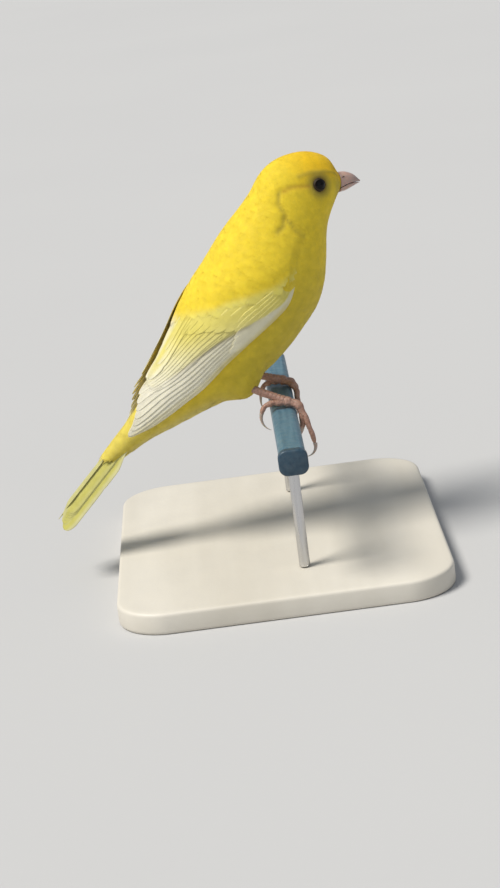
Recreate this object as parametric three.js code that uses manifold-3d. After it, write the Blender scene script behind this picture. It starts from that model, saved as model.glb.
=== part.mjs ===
// A life-size canary gripping a short cut length of plastic cage perch, held by a plain display stand.
// Millimetres, +Z up. The bird faces +X, the perch runs along Y, and the origin is on the stand's
// underside, straight below the middle of the perch.

import * as THREE from 'three';
import { mergeVertices } from 'three/addons/utils/BufferGeometryUtils.js';
import Module from 'manifold-3d';

const wasm = await Module();
wasm.setup();

// Driving dimensions

const GAP = 0.3;

const BASE = { width: 92, depth: 112, height: 6, corner: 14, bevel: 1, centreX: -6 };
const PERCH = { width: 7.2, height: 6.4, corner: 2, length: 106, top: 45 };
const PERCH_END = { length: 2.6, rim: 0.35 };
const ROD = { radius: 1.5, offset: 34 };

// Where the bird stands: its mid-plane along the perch, and how far its body turns from square to it.
const STANCE = { alongPerch: 3, turnDegrees: 5 };

// The head turns a little further, about an upright axis through the neck.
const HEAD_TURN = { degrees: 12, axisX: 6, still: 8, full: 3 };

// Body sections from the bill's base to the tail's root. Each has its highest and lowest point in the
// mid-plane, as x and height above the perch's top, its half width, and how far up its widest level is.
const SECTIONS = [
  { name: 'bill', top: [24.0, 61.1], bottom: [23.2, 54.3], half: 3.1, level: 0.5 },
  { name: 'lores', top: [21.5, 65.4], bottom: [21.6, 51.9], half: 5.3, level: 0.48 },
  { name: 'eye', top: [17.2, 67.6], bottom: [20.2, 49.4], half: 7.0, level: 0.48 },
  { name: 'crown', top: [12.2, 68.1], bottom: [19.0, 46.6], half: 8.1, level: 0.47 },
  { name: 'ear', top: [6.6, 67.0], bottom: [18.3, 43.6], half: 9.0, level: 0.47 },
  { name: 'nape', top: [2.0, 64.0], bottom: [17.9, 40.4], half: 9.8, level: 0.48 },
  { name: 'neck', top: [-2.8, 57.4], bottom: [17.3, 36.4], half: 11.2, level: 0.5 },
  { name: 'mantle', top: [-8.4, 50.0], bottom: [16.1, 31.0], half: 13.2, level: 0.52 },
  { name: 'shoulder', top: [-13.8, 42.5], bottom: [13.4, 25.0], half: 14.6, level: 0.52 },
  { name: 'back', top: [-19.2, 36.1], bottom: [8.6, 19.2], half: 15.0, level: 0.52 },
  { name: 'belly', top: [-23.7, 29.8], bottom: [2.6, 13.0], half: 14.6, level: 0.52 },
  { name: 'flank', top: [-27.8, 23.0], bottom: [-4.0, 8.0], half: 13.2, level: 0.52 },
  { name: 'thigh', top: [-32.0, 16.2], bottom: [-12.0, 3.0], half: 11.0, level: 0.5 },
  { name: 'vent', top: [-36.2, 9.8], bottom: [-21.0, -0.2], half: 8.6, level: 0.5 },
  { name: 'rump', top: [-40.4, 4.0], bottom: [-30.4, -3.6], half: 6.3, level: 0.5 },
  { name: 'coverts', top: [-44.8, -0.9], bottom: [-38.6, -6.6], half: 4.6, level: 0.5 },
  { name: 'tailRoot', top: [-49.4, -5.6], bottom: [-45.2, -10.0], half: 3.5, level: 0.5 },
];
const LAST = SECTIONS.length - 1;

const BODY = { rings: 36, sides: 22 };
const CUTS = { head: 5.1, neck: 7.15 };

const EYE = { section: 2.7, degrees: 78.8, radius: 2.05, sink: 1.2, detail: 13 };
const LID = { clearance: 0.1, thickness: 0.36, rise: 0.72 };

const BILL = {
  mouthGap: 0.3,
  culmen: [[24.6, 60.5], [26.6, 60.3], [28.9, 59.2], [30.9, 57.1]],
  mouth: [[24.1, 56.5], [26.4, 57.0], [28.7, 57.15], [30.7, 56.7]],
  gonys: [[23.9, 54.9], [26.0, 55.1], [28.2, 55.8], [30.3, 56.5]],
  halfWidths: [2.75, 2.3, 1.5, 0.22],
  nostril: { x: 25.3, y: 2.35, z: 59.3, radius: 0.5 },
  steps: 8,
  arc: 10,
};

// The folded wing lies over the body from its wrist to its tip. Its leading and inner edges are given
// at even steps along it, in degrees down from the middle of the back.
const WING = {
  wrist: 6.5,
  tip: 15.35,
  leadDegrees: [102, 112, 110, 103, 95.5, 90, 85, 78, 71],
  innerDegrees: [80, 42, 21, 12, 8, 7, 8, 29, 60],
  lift: 0.8,
  standOff: 1.5,
  standOffSpan: [0.5, 0.9],
  leftRaise: 1.1,
  coreEnd: 0.68,
  coreThickness: 0.6,
  coreRows: 10,
  coreColumns: 6,
};
const VANE = { thickness: 0.5, tilt: 0.75, steps: 4 };

// How far along and across the wing each of the primaries ends, the lowest-lying first.
const PRIMARY_TIPS = [[0.975, 0.05], [1, 0.14], [0.985, 0.28], [0.95, 0.44], [0.91, 0.6], [0.865, 0.74]];

// The tail is closed. Offsets are how far each feather's middle lies from the tail's middle.
const TAIL = {
  length: 30,
  fork: 4.2,
  fall: 0.12,
  offsets: [1.5, 1.65, 1.85, 2.1, 2.7, 4.1],
  offsetSpan: 0.25,
  halfWidth: 2.5,
  tilt: 0.2,
  rootSpread: 0.3,
  overlap: 0.15,
  rootShares: [1, 0.92, 0.75, 0.5],
  rootStep: 1.8,
  roofDegrees: 26,
  rollDegrees: -14,
  direction: [-0.713, -0.701],
  root: [-47.6, -5.6],
};

const TARSUS = { radius: 1.08, flare: 0.25, heel: [-15.0, 8.6], heelHalfSpan: 7.4, sides: 8, steps: 5 };
const TOE = { radius: 0.9, tipRadius: 0.62, clearance: 0.3, drop: 0.45, sides: 6, steps: 6, hub: 1.45 };
const CLAW = { share: 0.92, tip: 0.1, taper: 0.8, sides: 6, steps: 6 };
// Each toe's reach is measured round the perch from the foot's middle, towards the front if positive.
// Splay is sideways, away from the body if positive. A toe that stands off bends less than the perch.
const FEET = {
  right: {
    at: [1.4, -14],
    toes: {
      hind: { reach: -9.4, splay: 0.4, standOff: 1.7, claw: 6.3, hook: 1.6 },
      inner: { reach: 8.6, splay: -4.4, standOff: 0, claw: 4.4, hook: 0.55 },
      middle: {
        path: [
          [1.4, -14, 1.75],
          [4.1, -14.8, 1.2],
          [5.4, -15.9, -1.8],
          [6.5, -17.2, -5.6],
          [7.5, -18.5, -10.2],
        ],
        claw: 5.4,
        hook: 1.9,
      },
      outer: { reach: 9.2, splay: 2.2, standOff: 0, claw: 4.4, hook: 0.55 },
    },
  },
  left: {
    at: [1.2, 9.8],
    toes: {
      hind: { reach: -7.8, splay: 0.5, standOff: 0.6, claw: 6.2, hook: 0.8 },
      inner: { reach: 8.6, splay: -4, standOff: 0, claw: 4.4, hook: 0.55 },
      middle: { reach: 10.2, splay: -0.4, standOff: 0, claw: 4.8, hook: 0.55 },
      outer: { reach: 8.8, splay: 3.6, standOff: 0, claw: 4.4, hook: 0.55 },
    },
  },
};

// The feathered thigh's centres as x, distance from the mid-plane and height, and its radii.
const THIGH = {
  centres: [[-8.5, 7.0, 15.5], [-9.8, 7.6, 11.0], [-11.0, 8.0, 7.0], [-11.6, 8.4, 4.6], [-11.0, 8.7, 3.2]],
  radii: [5.2, 5.0, 3.9, 2.6, 1.5],
  flatness: 0.8,
  slant: 0.35,
  sides: 12,
};

// Larger than anything on the bird, for cutting with.
const REACH = 100;

const COLOURS = {
  plumage: { color: 0xecd021, roughness: 0.85 },
  wing: { color: 0xe6dc8a, roughness: 0.8 },
  tail: { color: 0xe4da86, roughness: 0.8 },
  bill: { color: 0xcda893, roughness: 0.45 },
  eye: { color: 0x120c08, roughness: 0.08 },
  legs: { color: 0xb98a74, roughness: 0.6 },
  claw: { color: 0xb9a893, roughness: 0.35 },
  perch: { color: 0x4d7f8c, roughness: 0.45 },
  perchEnd: { color: 0x1f4660, roughness: 0.45 },
  base: { color: 0xcfc6b6, roughness: 0.55 },
  rod: { color: 0xb6b8ba, roughness: 0.3, metalness: 1 },
};

const SIDES = { left: 1, right: -1 };

// Small helpers

const clamp01 = (t) => Math.min(1, Math.max(0, t));
const mix = (a, b, t) => a + (b - a) * t;
const smooth = (from, to, t) => {
  const u = clamp01((t - from) / (to - from));
  return u * u * (3 - 2 * u);
};
const radians = (degrees) => (degrees * Math.PI) / 180;
const times = (count, make) => Array.from({ length: count }, (_, i) => make(i));
const through = (points) => new THREE.CatmullRomCurve3(points, false, 'catmullrom', 0.5);

// A closed body through rings of equal size, its ends closed by fans. Rings whose second half faces
// the other way from the first, such as a thin vane's, get mirrored diagonals there.
function loft(rings, mirrored = false) {
  const sides = rings[0].length;
  const ends = [rings[0], rings[rings.length - 1]].map((ring) =>
    ring.reduce((sum, p) => sum.add(p), new THREE.Vector3()).divideScalar(sides));
  const points = [...rings.flat(), ...ends];
  const faces = [];
  for (let i = 0; i < rings.length - 1; i++) {
    for (let j = 0; j < sides; j++) {
      const k = (j + 1) % sides;
      const [a, b, c, d] = [i * sides + j, i * sides + k, (i + 1) * sides + k, (i + 1) * sides + j];
      if (mirrored && j >= sides / 2) faces.push([a, b, d], [b, c, d]);
      else faces.push([a, b, c], [a, c, d]);
    }
  }
  const first = points.length - 2;
  const lastRing = (rings.length - 1) * sides;
  for (let j = 0; j < sides; j++) {
    const k = (j + 1) % sides;
    faces.push([first, k, j], [first + 1, lastRing + j, lastRing + k]);
  }
  return closedGeometry(points, faces);
}

// Faces are turned to point outwards, whichever way the rings run.
function closedGeometry(points, faces) {
  const volume = faces.reduce((sum, [a, b, c]) =>
    sum + points[a].dot(new THREE.Vector3().crossVectors(points[b], points[c])), 0);
  const index = faces.flatMap(([a, b, c]) => (volume > 0 ? [a, b, c] : [a, c, b]));
  const geometry = new THREE.BufferGeometry().setFromPoints(points);
  geometry.setIndex(index);
  return geometry;
}

function solid(geometry) {
  const bare = geometry.clone();
  bare.deleteAttribute('normal');
  bare.deleteAttribute('uv');
  const merged = mergeVertices(bare, 1e-4);
  return new wasm.Manifold(new wasm.Mesh({
    numProp: 3,
    vertProperties: new Float32Array(merged.attributes.position.array),
    triVerts: new Uint32Array(merged.index.array),
  }));
}

const joined = (solids) => solids.reduce((sum, each) => sum.add(each));
const largest = (body) => body.decompose().sort((a, b) => b.volume() - a.volume())[0];

function geometryOf(body) {
  const made = body.getMesh();
  const geometry = new THREE.BufferGeometry();
  geometry.setAttribute('position', new THREE.BufferAttribute(new Float32Array(made.vertProperties), 3));
  geometry.setIndex(new THREE.BufferAttribute(new Uint32Array(made.triVerts), 1));
  return geometry;
}

const ball = (centre, radius, detail = 12) => solid(
  new THREE.SphereGeometry(radius, detail, Math.round(detail * 0.75))
    .translate(centre.x, centre.y, centre.z));

// The body's surface

const topLine = through(SECTIONS.map(({ top, half }) => new THREE.Vector3(top[0], top[1], half)));
const bottomLine = through(SECTIONS.map(({ bottom, level }) =>
  new THREE.Vector3(bottom[0], bottom[1], level)));

// Turns a point of the head or neck with the head, by a share of the full turn.
function turned(point, s) {
  const angle = radians(HEAD_TURN.degrees) * (1 - smooth(HEAD_TURN.full, HEAD_TURN.still, s));
  const x = point.x - HEAD_TURN.axisX;
  return new THREE.Vector3(
    HEAD_TURN.axisX + x * Math.cos(angle) - point.y * Math.sin(angle),
    x * Math.sin(angle) + point.y * Math.cos(angle),
    point.z);
}

// The point of the body at section s, at an angle from the top round the bird's left (+Y) side,
// lifted off it.
function bodyPoint(s, angle, lift = 0) {
  const t = clamp01(s / LAST);
  const upper = topLine.getPoint(t);
  const lower = bottomLine.getPoint(t);
  const half = upper.z;
  const level = lower.z;
  const rise = new THREE.Vector2(upper.x - lower.x, upper.y - lower.y);
  const depth = rise.length();
  rise.divideScalar(depth);
  const up = Math.cos(angle);
  const reach = up > 0 ? depth * (1 - level) : depth * level;
  const normal = new THREE.Vector2(up / reach, Math.sin(angle) / half).normalize();
  const height = depth * level + up * reach + normal.x * lift;
  const side = Math.sin(angle) * half + normal.y * lift;
  return turned(new THREE.Vector3(lower.x + rise.x * height, side, lower.y + rise.y * height), s);
}

function bodySolid(lift = 0, rings = BODY.rings) {
  const made = times(rings + 1, (i) =>
    times(BODY.sides, (j) => bodyPoint((i / rings) * LAST, (j / BODY.sides) * 2 * Math.PI, lift)));
  return solid(loft(made));
}

// A thin slab across the body in the plane of section s, which parts two nodes.
function partingSlab(s) {
  const centre = bodyPoint(s, 0).add(bodyPoint(s, Math.PI)).multiplyScalar(0.5);
  const up = bodyPoint(s, 0).sub(bodyPoint(s, Math.PI)).normalize();
  const across = bodyPoint(s, Math.PI / 2).sub(bodyPoint(s, -Math.PI / 2)).normalize();
  const along = new THREE.Vector3().crossVectors(across, up).normalize();
  const frame = new THREE.Matrix4().makeBasis(along, across, up).setPosition(centre);
  return solid(new THREE.BoxGeometry(GAP, REACH, REACH).applyMatrix4(frame));
}

// Head details

// An eye's centre under the head's surface, and the way the surface faces there.
function eyeCentre(side) {
  const step = 0.01;
  const angle = side * radians(EYE.degrees);
  const surface = bodyPoint(EYE.section, angle);
  const along = bodyPoint(EYE.section + step, angle).sub(surface);
  const around = bodyPoint(EYE.section, angle + step).sub(surface);
  const outward = new THREE.Vector3().crossVectors(around, along).normalize();
  return { centre: surface.addScaledVector(outward, -EYE.sink), outward };
}

function lidRing({ centre, outward }) {
  const ring = new THREE.TorusGeometry(EYE.radius + LID.clearance, LID.thickness, 6, EYE.detail);
  const facing = new THREE.Quaternion().setFromUnitVectors(new THREE.Vector3(0, 0, 1), outward);
  ring.applyQuaternion(facing);
  const rim = centre.clone().addScaledVector(outward, EYE.sink * LID.rise);
  return solid(ring.translate(rim.x, rim.y, rim.z));
}

// One half of the bill, as D-shaped rings between the mouth line and the culmen or the gonys.
function mandible(outline, upward) {
  const edge = through(outline.map(([x, z]) => new THREE.Vector3(x, 0, z)));
  const mouth = through(BILL.mouth.map(([x, z]) => new THREE.Vector3(x, 0, z)));
  const widths = through(BILL.halfWidths.map((w, i) => new THREE.Vector3(i, w, 0)));
  const { steps, arc } = BILL;
  const rings = times(steps + 1, (i) => {
    const t = i / steps;
    const outer = edge.getPoint(t);
    const inner = mouth.getPoint(t).add(new THREE.Vector3(0, 0, upward * BILL.mouthGap / 2));
    const half = widths.getPoint(t).y;
    return times(arc + 1, (j) => {
      const angle = (j / arc) * Math.PI;
      const point = inner.clone().lerp(outer, Math.sin(angle));
      point.y = half * Math.cos(angle);
      return turned(point, 0);
    });
  });
  return solid(loft(rings));
}

function nostrils() {
  const { x, y, z, radius } = BILL.nostril;
  return joined([-1, 1].map((side) => ball(turned(new THREE.Vector3(x, side * y, z), 0), radius, 8)));
}

// Feathers

// A vane along a curve of frames, each a point with its across and outward directions.
function vane({ frameAt, halfWidth, tilt = VANE.tilt, side = 1, shape = flightShape }) {
  const rings = times(VANE.steps + 1, (i) => {
    const t = i / VANE.steps;
    const { point, across, outward } = frameAt(t);
    const half = halfWidth * shape(t);
    const thick = VANE.thickness * mix(1, 0.6, t);
    const at = (u, raise) => point.clone()
      .addScaledVector(across, u * half)
      .addScaledVector(outward, tilt * (1 - u * side) / 2 * Math.min(1, half / 1.2) + raise);
    return [at(-1, thick / 2), at(1, thick / 2), at(1, -thick / 2), at(-1, -thick / 2)];
  });
  return solid(loft(rings, true));
}

// Narrow at the quill, full in the middle and round at the tip.
const flightShape = (t) => mix(0.5, 1, smooth(0, 0.35, t)) * Math.sqrt(1 - 0.93 * smooth(0.72, 1, t));

// Wings

const wingEdges = through(WING.leadDegrees.map((lead, i) =>
  new THREE.Vector3(i, lead, WING.innerDegrees[i])));
const wingLift = (a, b) =>
  WING.lift + WING.standOff * smooth(...WING.standOffSpan, a) * mix(0.45, 1, clamp01(b));

// The folded wing's surface: a from wrist to tip, b from the leading edge to the inner edge on the back.
// The left wing's inner edge stands a little higher than the right one's.
function wingPoint(side, a, b, lift) {
  const s = mix(WING.wrist, WING.tip, a);
  const edges = wingEdges.getPoint(clamp01(a));
  const angle = radians(mix(edges.y, edges.z, b));
  const raise = side > 0 ? WING.leftRaise * smooth(0.2, 0.5, a) * smooth(0.4, 1, b) : 0;
  return bodyPoint(s, side * angle, wingLift(a, b) + raise + lift);
}

function wingVane(side, { root, tip, width, lift, power = 1 }) {
  const place = (t, extra = 0) =>
    wingPoint(side, mix(root[0], tip[0], t), mix(root[1], tip[1], t ** power), lift + extra);
  const frameAt = (t) => {
    const point = place(t);
    const along = place(Math.min(1, t + 0.02)).sub(place(Math.max(0, t - 0.02))).normalize();
    const outward = place(t, 1).sub(point).normalize();
    const across = new THREE.Vector3().crossVectors(along, outward).normalize();
    return { point, across, outward };
  };
  return vane({ frameAt, halfWidth: width / 2, side });
}

// The vanes of one folded wing, tier by tier, from the lowest-lying to the ones on top.
function wingVanes() {
  const primaries = PRIMARY_TIPS.map((tip, i) => ({
    root: [0.16, 0.12 + 0.035 * i],
    tip,
    width: 4.4,
    lift: 0.1 + 0.05 * i,
    power: 3,
  }));
  const secondaries = times(5, (i) => ({
    root: [0.2, 0.3 + 0.085 * i],
    tip: [0.76 - 0.016 * i, 0.34 + 0.1 * i],
    width: 5.8,
    lift: 0.3 + 0.04 * i,
  }));
  const tertials = times(3, (i) => ({
    root: [0.24, 0.72 + 0.06 * i],
    tip: [0.7 - 0.07 * i, 0.78 + 0.06 * i],
    width: 6.4,
    lift: 0.5 + 0.08 * i,
  }));
  const coverts = times(5, (i) => ({
    root: [0.07 + 0.016 * i, 0.14 + 0.16 * i],
    tip: [0.4 + 0.016 * i, 0.14 + 0.165 * i],
    width: 6.6,
    lift: 0.7,
  }));
  return [...primaries, ...secondaries, ...tertials, ...coverts];
}

// The wing's own thickness under the vanes, clear of the body by the gap.
function wingCore(side) {
  const { coreRows: rows, coreColumns: columns } = WING;
  const grid = (lift) => times(rows + 1, (i) => times(columns + 1, (j) => {
    const thin = Math.sin(Math.PI * mix(0.06, 0.94, i / rows)) ** 0.4;
    return wingPoint(side, WING.coreEnd * (i / rows), j / columns, lift > 0 ? lift * thin : lift);
  }));
  const outer = grid(WING.coreThickness);
  const inner = grid(-WING.lift + GAP);
  const rings = outer.map((row, i) => [...row, ...inner[i].slice().reverse()]);
  return solid(loft(rings, true));
}

function wing(side, clearance) {
  const pieces = [wingCore(side), ...wingVanes().map((spec) => wingVane(side, spec))];
  return largest(joined(pieces).subtract(clearance));
}

// Tail

function tailFrame() {
  const along = new THREE.Vector3(TAIL.direction[0], 0, TAIL.direction[1]).normalize();
  const up = new THREE.Vector3(along.z, 0, -along.x);
  const roll = new THREE.Quaternion().setFromAxisAngle(along, radians(TAIL.rollDegrees));
  const outward = up.applyQuaternion(roll);
  const across = new THREE.Vector3().crossVectors(along, outward).normalize();
  return { along, outward, across };
}

function tailVane(side, i) {
  const { along, outward, across } = tailFrame();
  const roof = radians(TAIL.roofDegrees);
  const sideways = across.clone()
    .multiplyScalar(side * Math.cos(roof))
    .addScaledVector(outward, -Math.sin(roof));
  const rightward = sideways.clone().multiplyScalar(side);
  const lean = new THREE.Vector3().crossVectors(rightward, along).normalize();
  const root = new THREE.Vector3(TAIL.root[0], 0, TAIL.root[1]);
  const [middle] = TAIL.offsets;
  const length = TAIL.length - TAIL.fork * (1 - (i / (TAIL.offsets.length - 1)) ** 1.3);
  const offset = (t) =>
    middle + mix(TAIL.rootSpread * i, TAIL.offsets[i] - middle, smooth(0, TAIL.offsetSpan, t));
  const frameAt = (t) => ({
    point: root.clone()
      .addScaledVector(along, length * t)
      .addScaledVector(sideways, offset(t))
      .addScaledVector(lean, -TAIL.fall * i - (side > 0 ? TAIL.overlap : 0)),
    across: rightward,
    outward: lean,
  });
  return vane({ frameAt, halfWidth: TAIL.halfWidth, tilt: TAIL.tilt, side, shape: tailShape });
}

const tailShape = (t) => mix(0.62, 1, smooth(0, 0.25, t)) * Math.sqrt(1 - 0.9 * smooth(0.84, 1, t));

// The quills come together in a short root of the body's own section.
function tailRoot() {
  const end = times(BODY.sides, (j) => bodyPoint(LAST, (j / BODY.sides) * 2 * Math.PI, -0.1));
  const { along } = tailFrame();
  const centre = end.reduce((sum, p) => sum.add(p), new THREE.Vector3()).divideScalar(end.length);
  const rings = TAIL.rootShares.map((share, i) =>
    end.map((p) => p.clone().sub(centre).multiplyScalar(share).add(centre)
      .addScaledVector(along, GAP + i * TAIL.rootStep)));
  return solid(loft(rings));
}

function tail(clearance) {
  const vanes = [-1, 1].flatMap((side) => TAIL.offsets.map((_, i) => tailVane(side, i)));
  return largest(joined([tailRoot(), ...vanes]).subtract(clearance));
}

// Legs and feet

// A point beside the perch's section: arc is the way round it from the top's middle towards +X.
function aroundPerch(arc, height) {
  const { width, height: deep, corner } = PERCH;
  const radius = corner + height;
  const flat = width / 2 - corner;
  const quarter = (radius * Math.PI) / 2;
  const wall = deep - 2 * corner;
  const way = Math.sign(arc) || 1;
  let rest = Math.abs(arc);
  const put = (x, z) => new THREE.Vector2(way * x, z);
  if (rest < flat) return put(rest, height);
  rest -= flat;
  if (rest < quarter) {
    const turn = rest / radius;
    return put(flat + radius * Math.sin(turn), -corner + radius * Math.cos(turn));
  }
  rest -= quarter;
  if (rest < wall) return put(flat + radius, -corner - rest);
  const turn = Math.min(1.2, (rest - wall) / radius);
  return put(flat + radius * Math.cos(turn), -deep + corner - radius * Math.sin(turn));
}

// A round tube through points, whose radius runs from one value to another.
function tube(points, radiusAt, sides) {
  const line = through(points);
  const count = points.length - 1;
  const rings = times(count + 1, (i) => {
    const t = i / count;
    const centre = line.getPoint(t);
    const along = line.getTangent(t).normalize();
    const first = new THREE.Vector3(0, 1, 0).addScaledVector(along, -along.y).normalize();
    const second = new THREE.Vector3().crossVectors(along, first);
    return times(sides, (j) => {
      const angle = (j / sides) * 2 * Math.PI;
      return centre.clone()
        .addScaledVector(first, Math.cos(angle) * radiusAt(t))
        .addScaledVector(second, Math.sin(angle) * radiusAt(t));
    });
  });
  return solid(loft(rings));
}

function toePoints(toe, [footX, footY], side) {
  if (toe.path) {
    const line = through(toe.path.map((point) => new THREE.Vector3(...point)));
    return times(TOE.steps + 1, (i) => line.getPoint(i / TOE.steps));
  }
  const base = TOE.clearance + TOE.radius;
  return times(TOE.steps + 1, (i) => {
    const t = i / TOE.steps;
    const raise = base + TOE.drop * (1 - t) ** 3 + toe.standOff * smooth(0, 0.9, t);
    const point = aroundPerch(footX + toe.reach * t, raise);
    return new THREE.Vector3(point.x, footY + side * toe.splay * smooth(-0.4, 1, t), point.y);
  });
}

// The claw follows on from the toe's end and hooks in towards the sole.
function clawSolid(toe, points) {
  const end = points[points.length - 1];
  const before = points[points.length - 2];
  const along = end.clone().sub(before).normalize();
  const perch = new THREE.Vector3(0, end.y, -PERCH.height / 2);
  const inward = perch.sub(end);
  inward.addScaledVector(along, -inward.dot(along)).normalize();
  const { steps } = CLAW;
  const made = [end.clone().addScaledVector(along, GAP)];
  for (let i = 0; i < steps; i++) {
    const turn = toe.hook * ((i + 0.5) / steps);
    made.push(made[i].clone()
      .addScaledVector(along, (toe.claw / steps) * Math.cos(turn))
      .addScaledVector(inward, (toe.claw / steps) * Math.sin(turn)));
  }
  return tube(made, (t) => mix(TOE.tipRadius * CLAW.share, CLAW.tip, t ** CLAW.taper), CLAW.sides);
}

function foot(name, grow = 0, place = (point) => point) {
  const { at, toes } = FEET[name];
  const hub = place(new THREE.Vector3(at[0], at[1], TOE.clearance + TOE.hub));
  const lines = Object.values(toes).map((toe) => toePoints(toe, at, SIDES[name]).map(place));
  const toeTubes = lines.map((points) =>
    tube(points, (t) => mix(TOE.radius, TOE.tipRadius, t) + grow, TOE.sides));
  return {
    hub,
    solid: joined([ball(hub, TOE.hub + grow, 10), ...toeTubes]),
    claws: Object.keys(toes).map((toe, i) => ({ toe, solid: clawSolid(toes[toe], lines[i]) })),
  };
}

function tarsus(name, clearance) {
  const footHere = foot(name, GAP, inBodyFrame);
  const heel = new THREE.Vector3(TARSUS.heel[0], SIDES[name] * TARSUS.heelHalfSpan, TARSUS.heel[1]);
  const points = times(TARSUS.steps + 1, (i) => heel.clone().lerp(footHere.hub, i / TARSUS.steps));
  const made = tube(points, (t) => TARSUS.radius * (1 + TARSUS.flare * (2 * t - 1) ** 4), TARSUS.sides);
  return largest(made.subtract(clearance).subtract(footHere.solid));
}

// The feathered thigh: a soft bulge low on the flank that narrows round the top of the bare leg.
function thigh(side, grow = 0) {
  const { centres, radii, flatness, slant, sides } = THIGH;
  const rings = centres.map(([x, y, z], i) => times(sides, (j) => {
    const angle = (j / sides) * 2 * Math.PI;
    const radius = radii[i] + grow;
    const lead = i === centres.length - 1 ? grow : 0;
    return new THREE.Vector3(
      x + Math.cos(angle) * radius + lead * 0.6,
      side * y + Math.sin(angle) * radius * flatness,
      z - lead * 0.8 - Math.cos(angle) * radius * slant);
  }));
  return solid(loft(rings));
}

// Perch and stand

function roundedRectangle(width, height, corner) {
  const [w, h] = [width / 2 - corner, height / 2 - corner];
  const shape = new THREE.Shape();
  [[w, h, 0], [-w, h, 90], [-w, -h, 180], [w, -h, 270]].forEach(([x, y, start]) =>
    shape.absarc(x, y, corner, radians(start), radians(start + 90), false));
  return shape;
}

function perchSolid(width, height, corner, length, from) {
  const body = new THREE.ExtrudeGeometry(roundedRectangle(width, height, corner),
    { depth: length, bevelEnabled: false, curveSegments: 5 });
  body.rotateX(-Math.PI / 2);
  return solid(body.translate(0, from, -PERCH.height / 2));
}

function standBase() {
  const { width, depth, corner, bevel, height, centreX } = BASE;
  const plate = new THREE.ExtrudeGeometry(
    roundedRectangle(width - 2 * bevel, depth - 2 * bevel, corner - bevel),
    {
      depth: height - 2 * bevel,
      bevelThickness: bevel,
      bevelSize: bevel,
      bevelSegments: 2,
      curveSegments: 5,
    });
  return solid(plate.translate(centreX, 0, bevel));
}

function standRod(y) {
  const bottom = BASE.height + GAP;
  const top = PERCH.top - PERCH.height - GAP;
  const rod = new THREE.CylinderGeometry(ROD.radius, ROD.radius, top - bottom, 16);
  rod.rotateX(Math.PI / 2);
  return solid(rod.translate(0, y, (top + bottom) / 2));
}

// The whole

const materials = Object.fromEntries(Object.entries(COLOURS).map(([name, look]) =>
  [name, new THREE.MeshStandardMaterial({ name, metalness: 0, ...look })]));

function node(name, body, material) {
  const mesh = new THREE.Mesh(geometryOf(body), materials[material]);
  mesh.name = name;
  return mesh;
}

function bodyGroup() {
  const group = new THREE.Group();
  const whole = bodySolid();
  const nearBody = bodySolid(GAP);
  const eyes = Object.values(SIDES).map(eyeCentre);
  const sockets = joined(eyes.map(({ centre }) => ball(centre, EYE.radius + GAP, EYE.detail)));
  const lids = joined(eyes.map(lidRing));
  const parted = whole.add(lids).subtract(sockets)
    .subtract(partingSlab(CUTS.head)).subtract(partingSlab(CUTS.neck))
    .decompose()
    .sort((a, b) => b.volume() - a.volume())
    .slice(0, 3)
    .sort((a, b) => b.boundingBox().max[2] - a.boundingBox().max[2]);
  ['head', 'neck', 'torso'].forEach((name, i) => group.add(node(name, parted[i], 'plumage')));
  group.add(node('bill_upper', mandible(BILL.culmen, 1).subtract(nostrils()), 'bill'));
  group.add(node('bill_lower', mandible(BILL.gonys, -1), 'bill'));

  const tailBody = tail(nearBody);
  group.add(node('tail', tailBody, 'tail'));
  const midline = solid(new THREE.BoxGeometry(2 * REACH, GAP, 2 * REACH));
  for (const [name, side] of Object.entries(SIDES)) {
    group.add(node(`eye_${name}`, ball(eyeCentre(side).centre, EYE.radius, EYE.detail), 'eye'));
    const halfSpace = solid(new THREE.BoxGeometry(2 * REACH, REACH, 2 * REACH)
      .translate(0, (-side * REACH) / 2, 0));
    group.add(node(`wing_${name}`, wing(side, joined([nearBody, midline, halfSpace])), 'wing'));
    group.add(node(`thigh_${name}`, largest(thigh(side).subtract(nearBody)), 'plumage'));
  }
  group.rotation.z = radians(STANCE.turnDegrees);
  return { group, nearBody };
}

// A point given beside the perch, as it lies in the turned body's own frame.
const inBodyFrame = (point) =>
  point.clone().applyAxisAngle(new THREE.Vector3(0, 0, 1), -radians(STANCE.turnDegrees));

function build() {
  const all = new THREE.Group();
  const { group: body, nearBody } = bodyGroup();
  const bird = new THREE.Group();
  bird.add(body);
  for (const [name, side] of Object.entries(SIDES)) {
    const made = foot(name);
    bird.add(node(`foot_${name}`, made.solid, 'legs'));
    const clearance = joined([nearBody, thigh(side, GAP)]);
    body.add(node(`leg_${name}`, tarsus(name, clearance), 'legs'));
    made.claws.forEach((claw) => bird.add(node(`claw_${name}_${claw.toe}`, claw.solid, 'claw')));
  }
  bird.position.set(0, STANCE.alongPerch, PERCH.top);
  all.add(bird);

  const { width, height, corner, length } = PERCH;
  const perchEnd = -length / 2;
  const perch = node('perch', perchSolid(width, height, corner, length - PERCH_END.length - GAP,
    perchEnd + PERCH_END.length + GAP), 'perch');
  perch.position.z = PERCH.top;
  all.add(perch);
  const { rim } = PERCH_END;
  const cap = node('perch_end', perchSolid(width + 2 * rim, height + 2 * rim, corner + rim,
    PERCH_END.length, perchEnd), 'perchEnd');
  cap.position.z = PERCH.top;
  all.add(cap);
  all.add(node('stand_base', standBase(), 'base'));
  all.add(node('stand_rod_front', standRod(-ROD.offset), 'rod'));
  all.add(node('stand_rod_back', standRod(ROD.offset), 'rod'));
  return all;
}

export default build();
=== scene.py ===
# A life-size canary gripping a short cut length of cage perch, over a plain display stand.
# Sizes are in millimetres, like the source of the solids; meshes are made in metres.

import math

import bpy
import numpy as np
from mathutils import Matrix, Vector, kdtree


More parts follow.
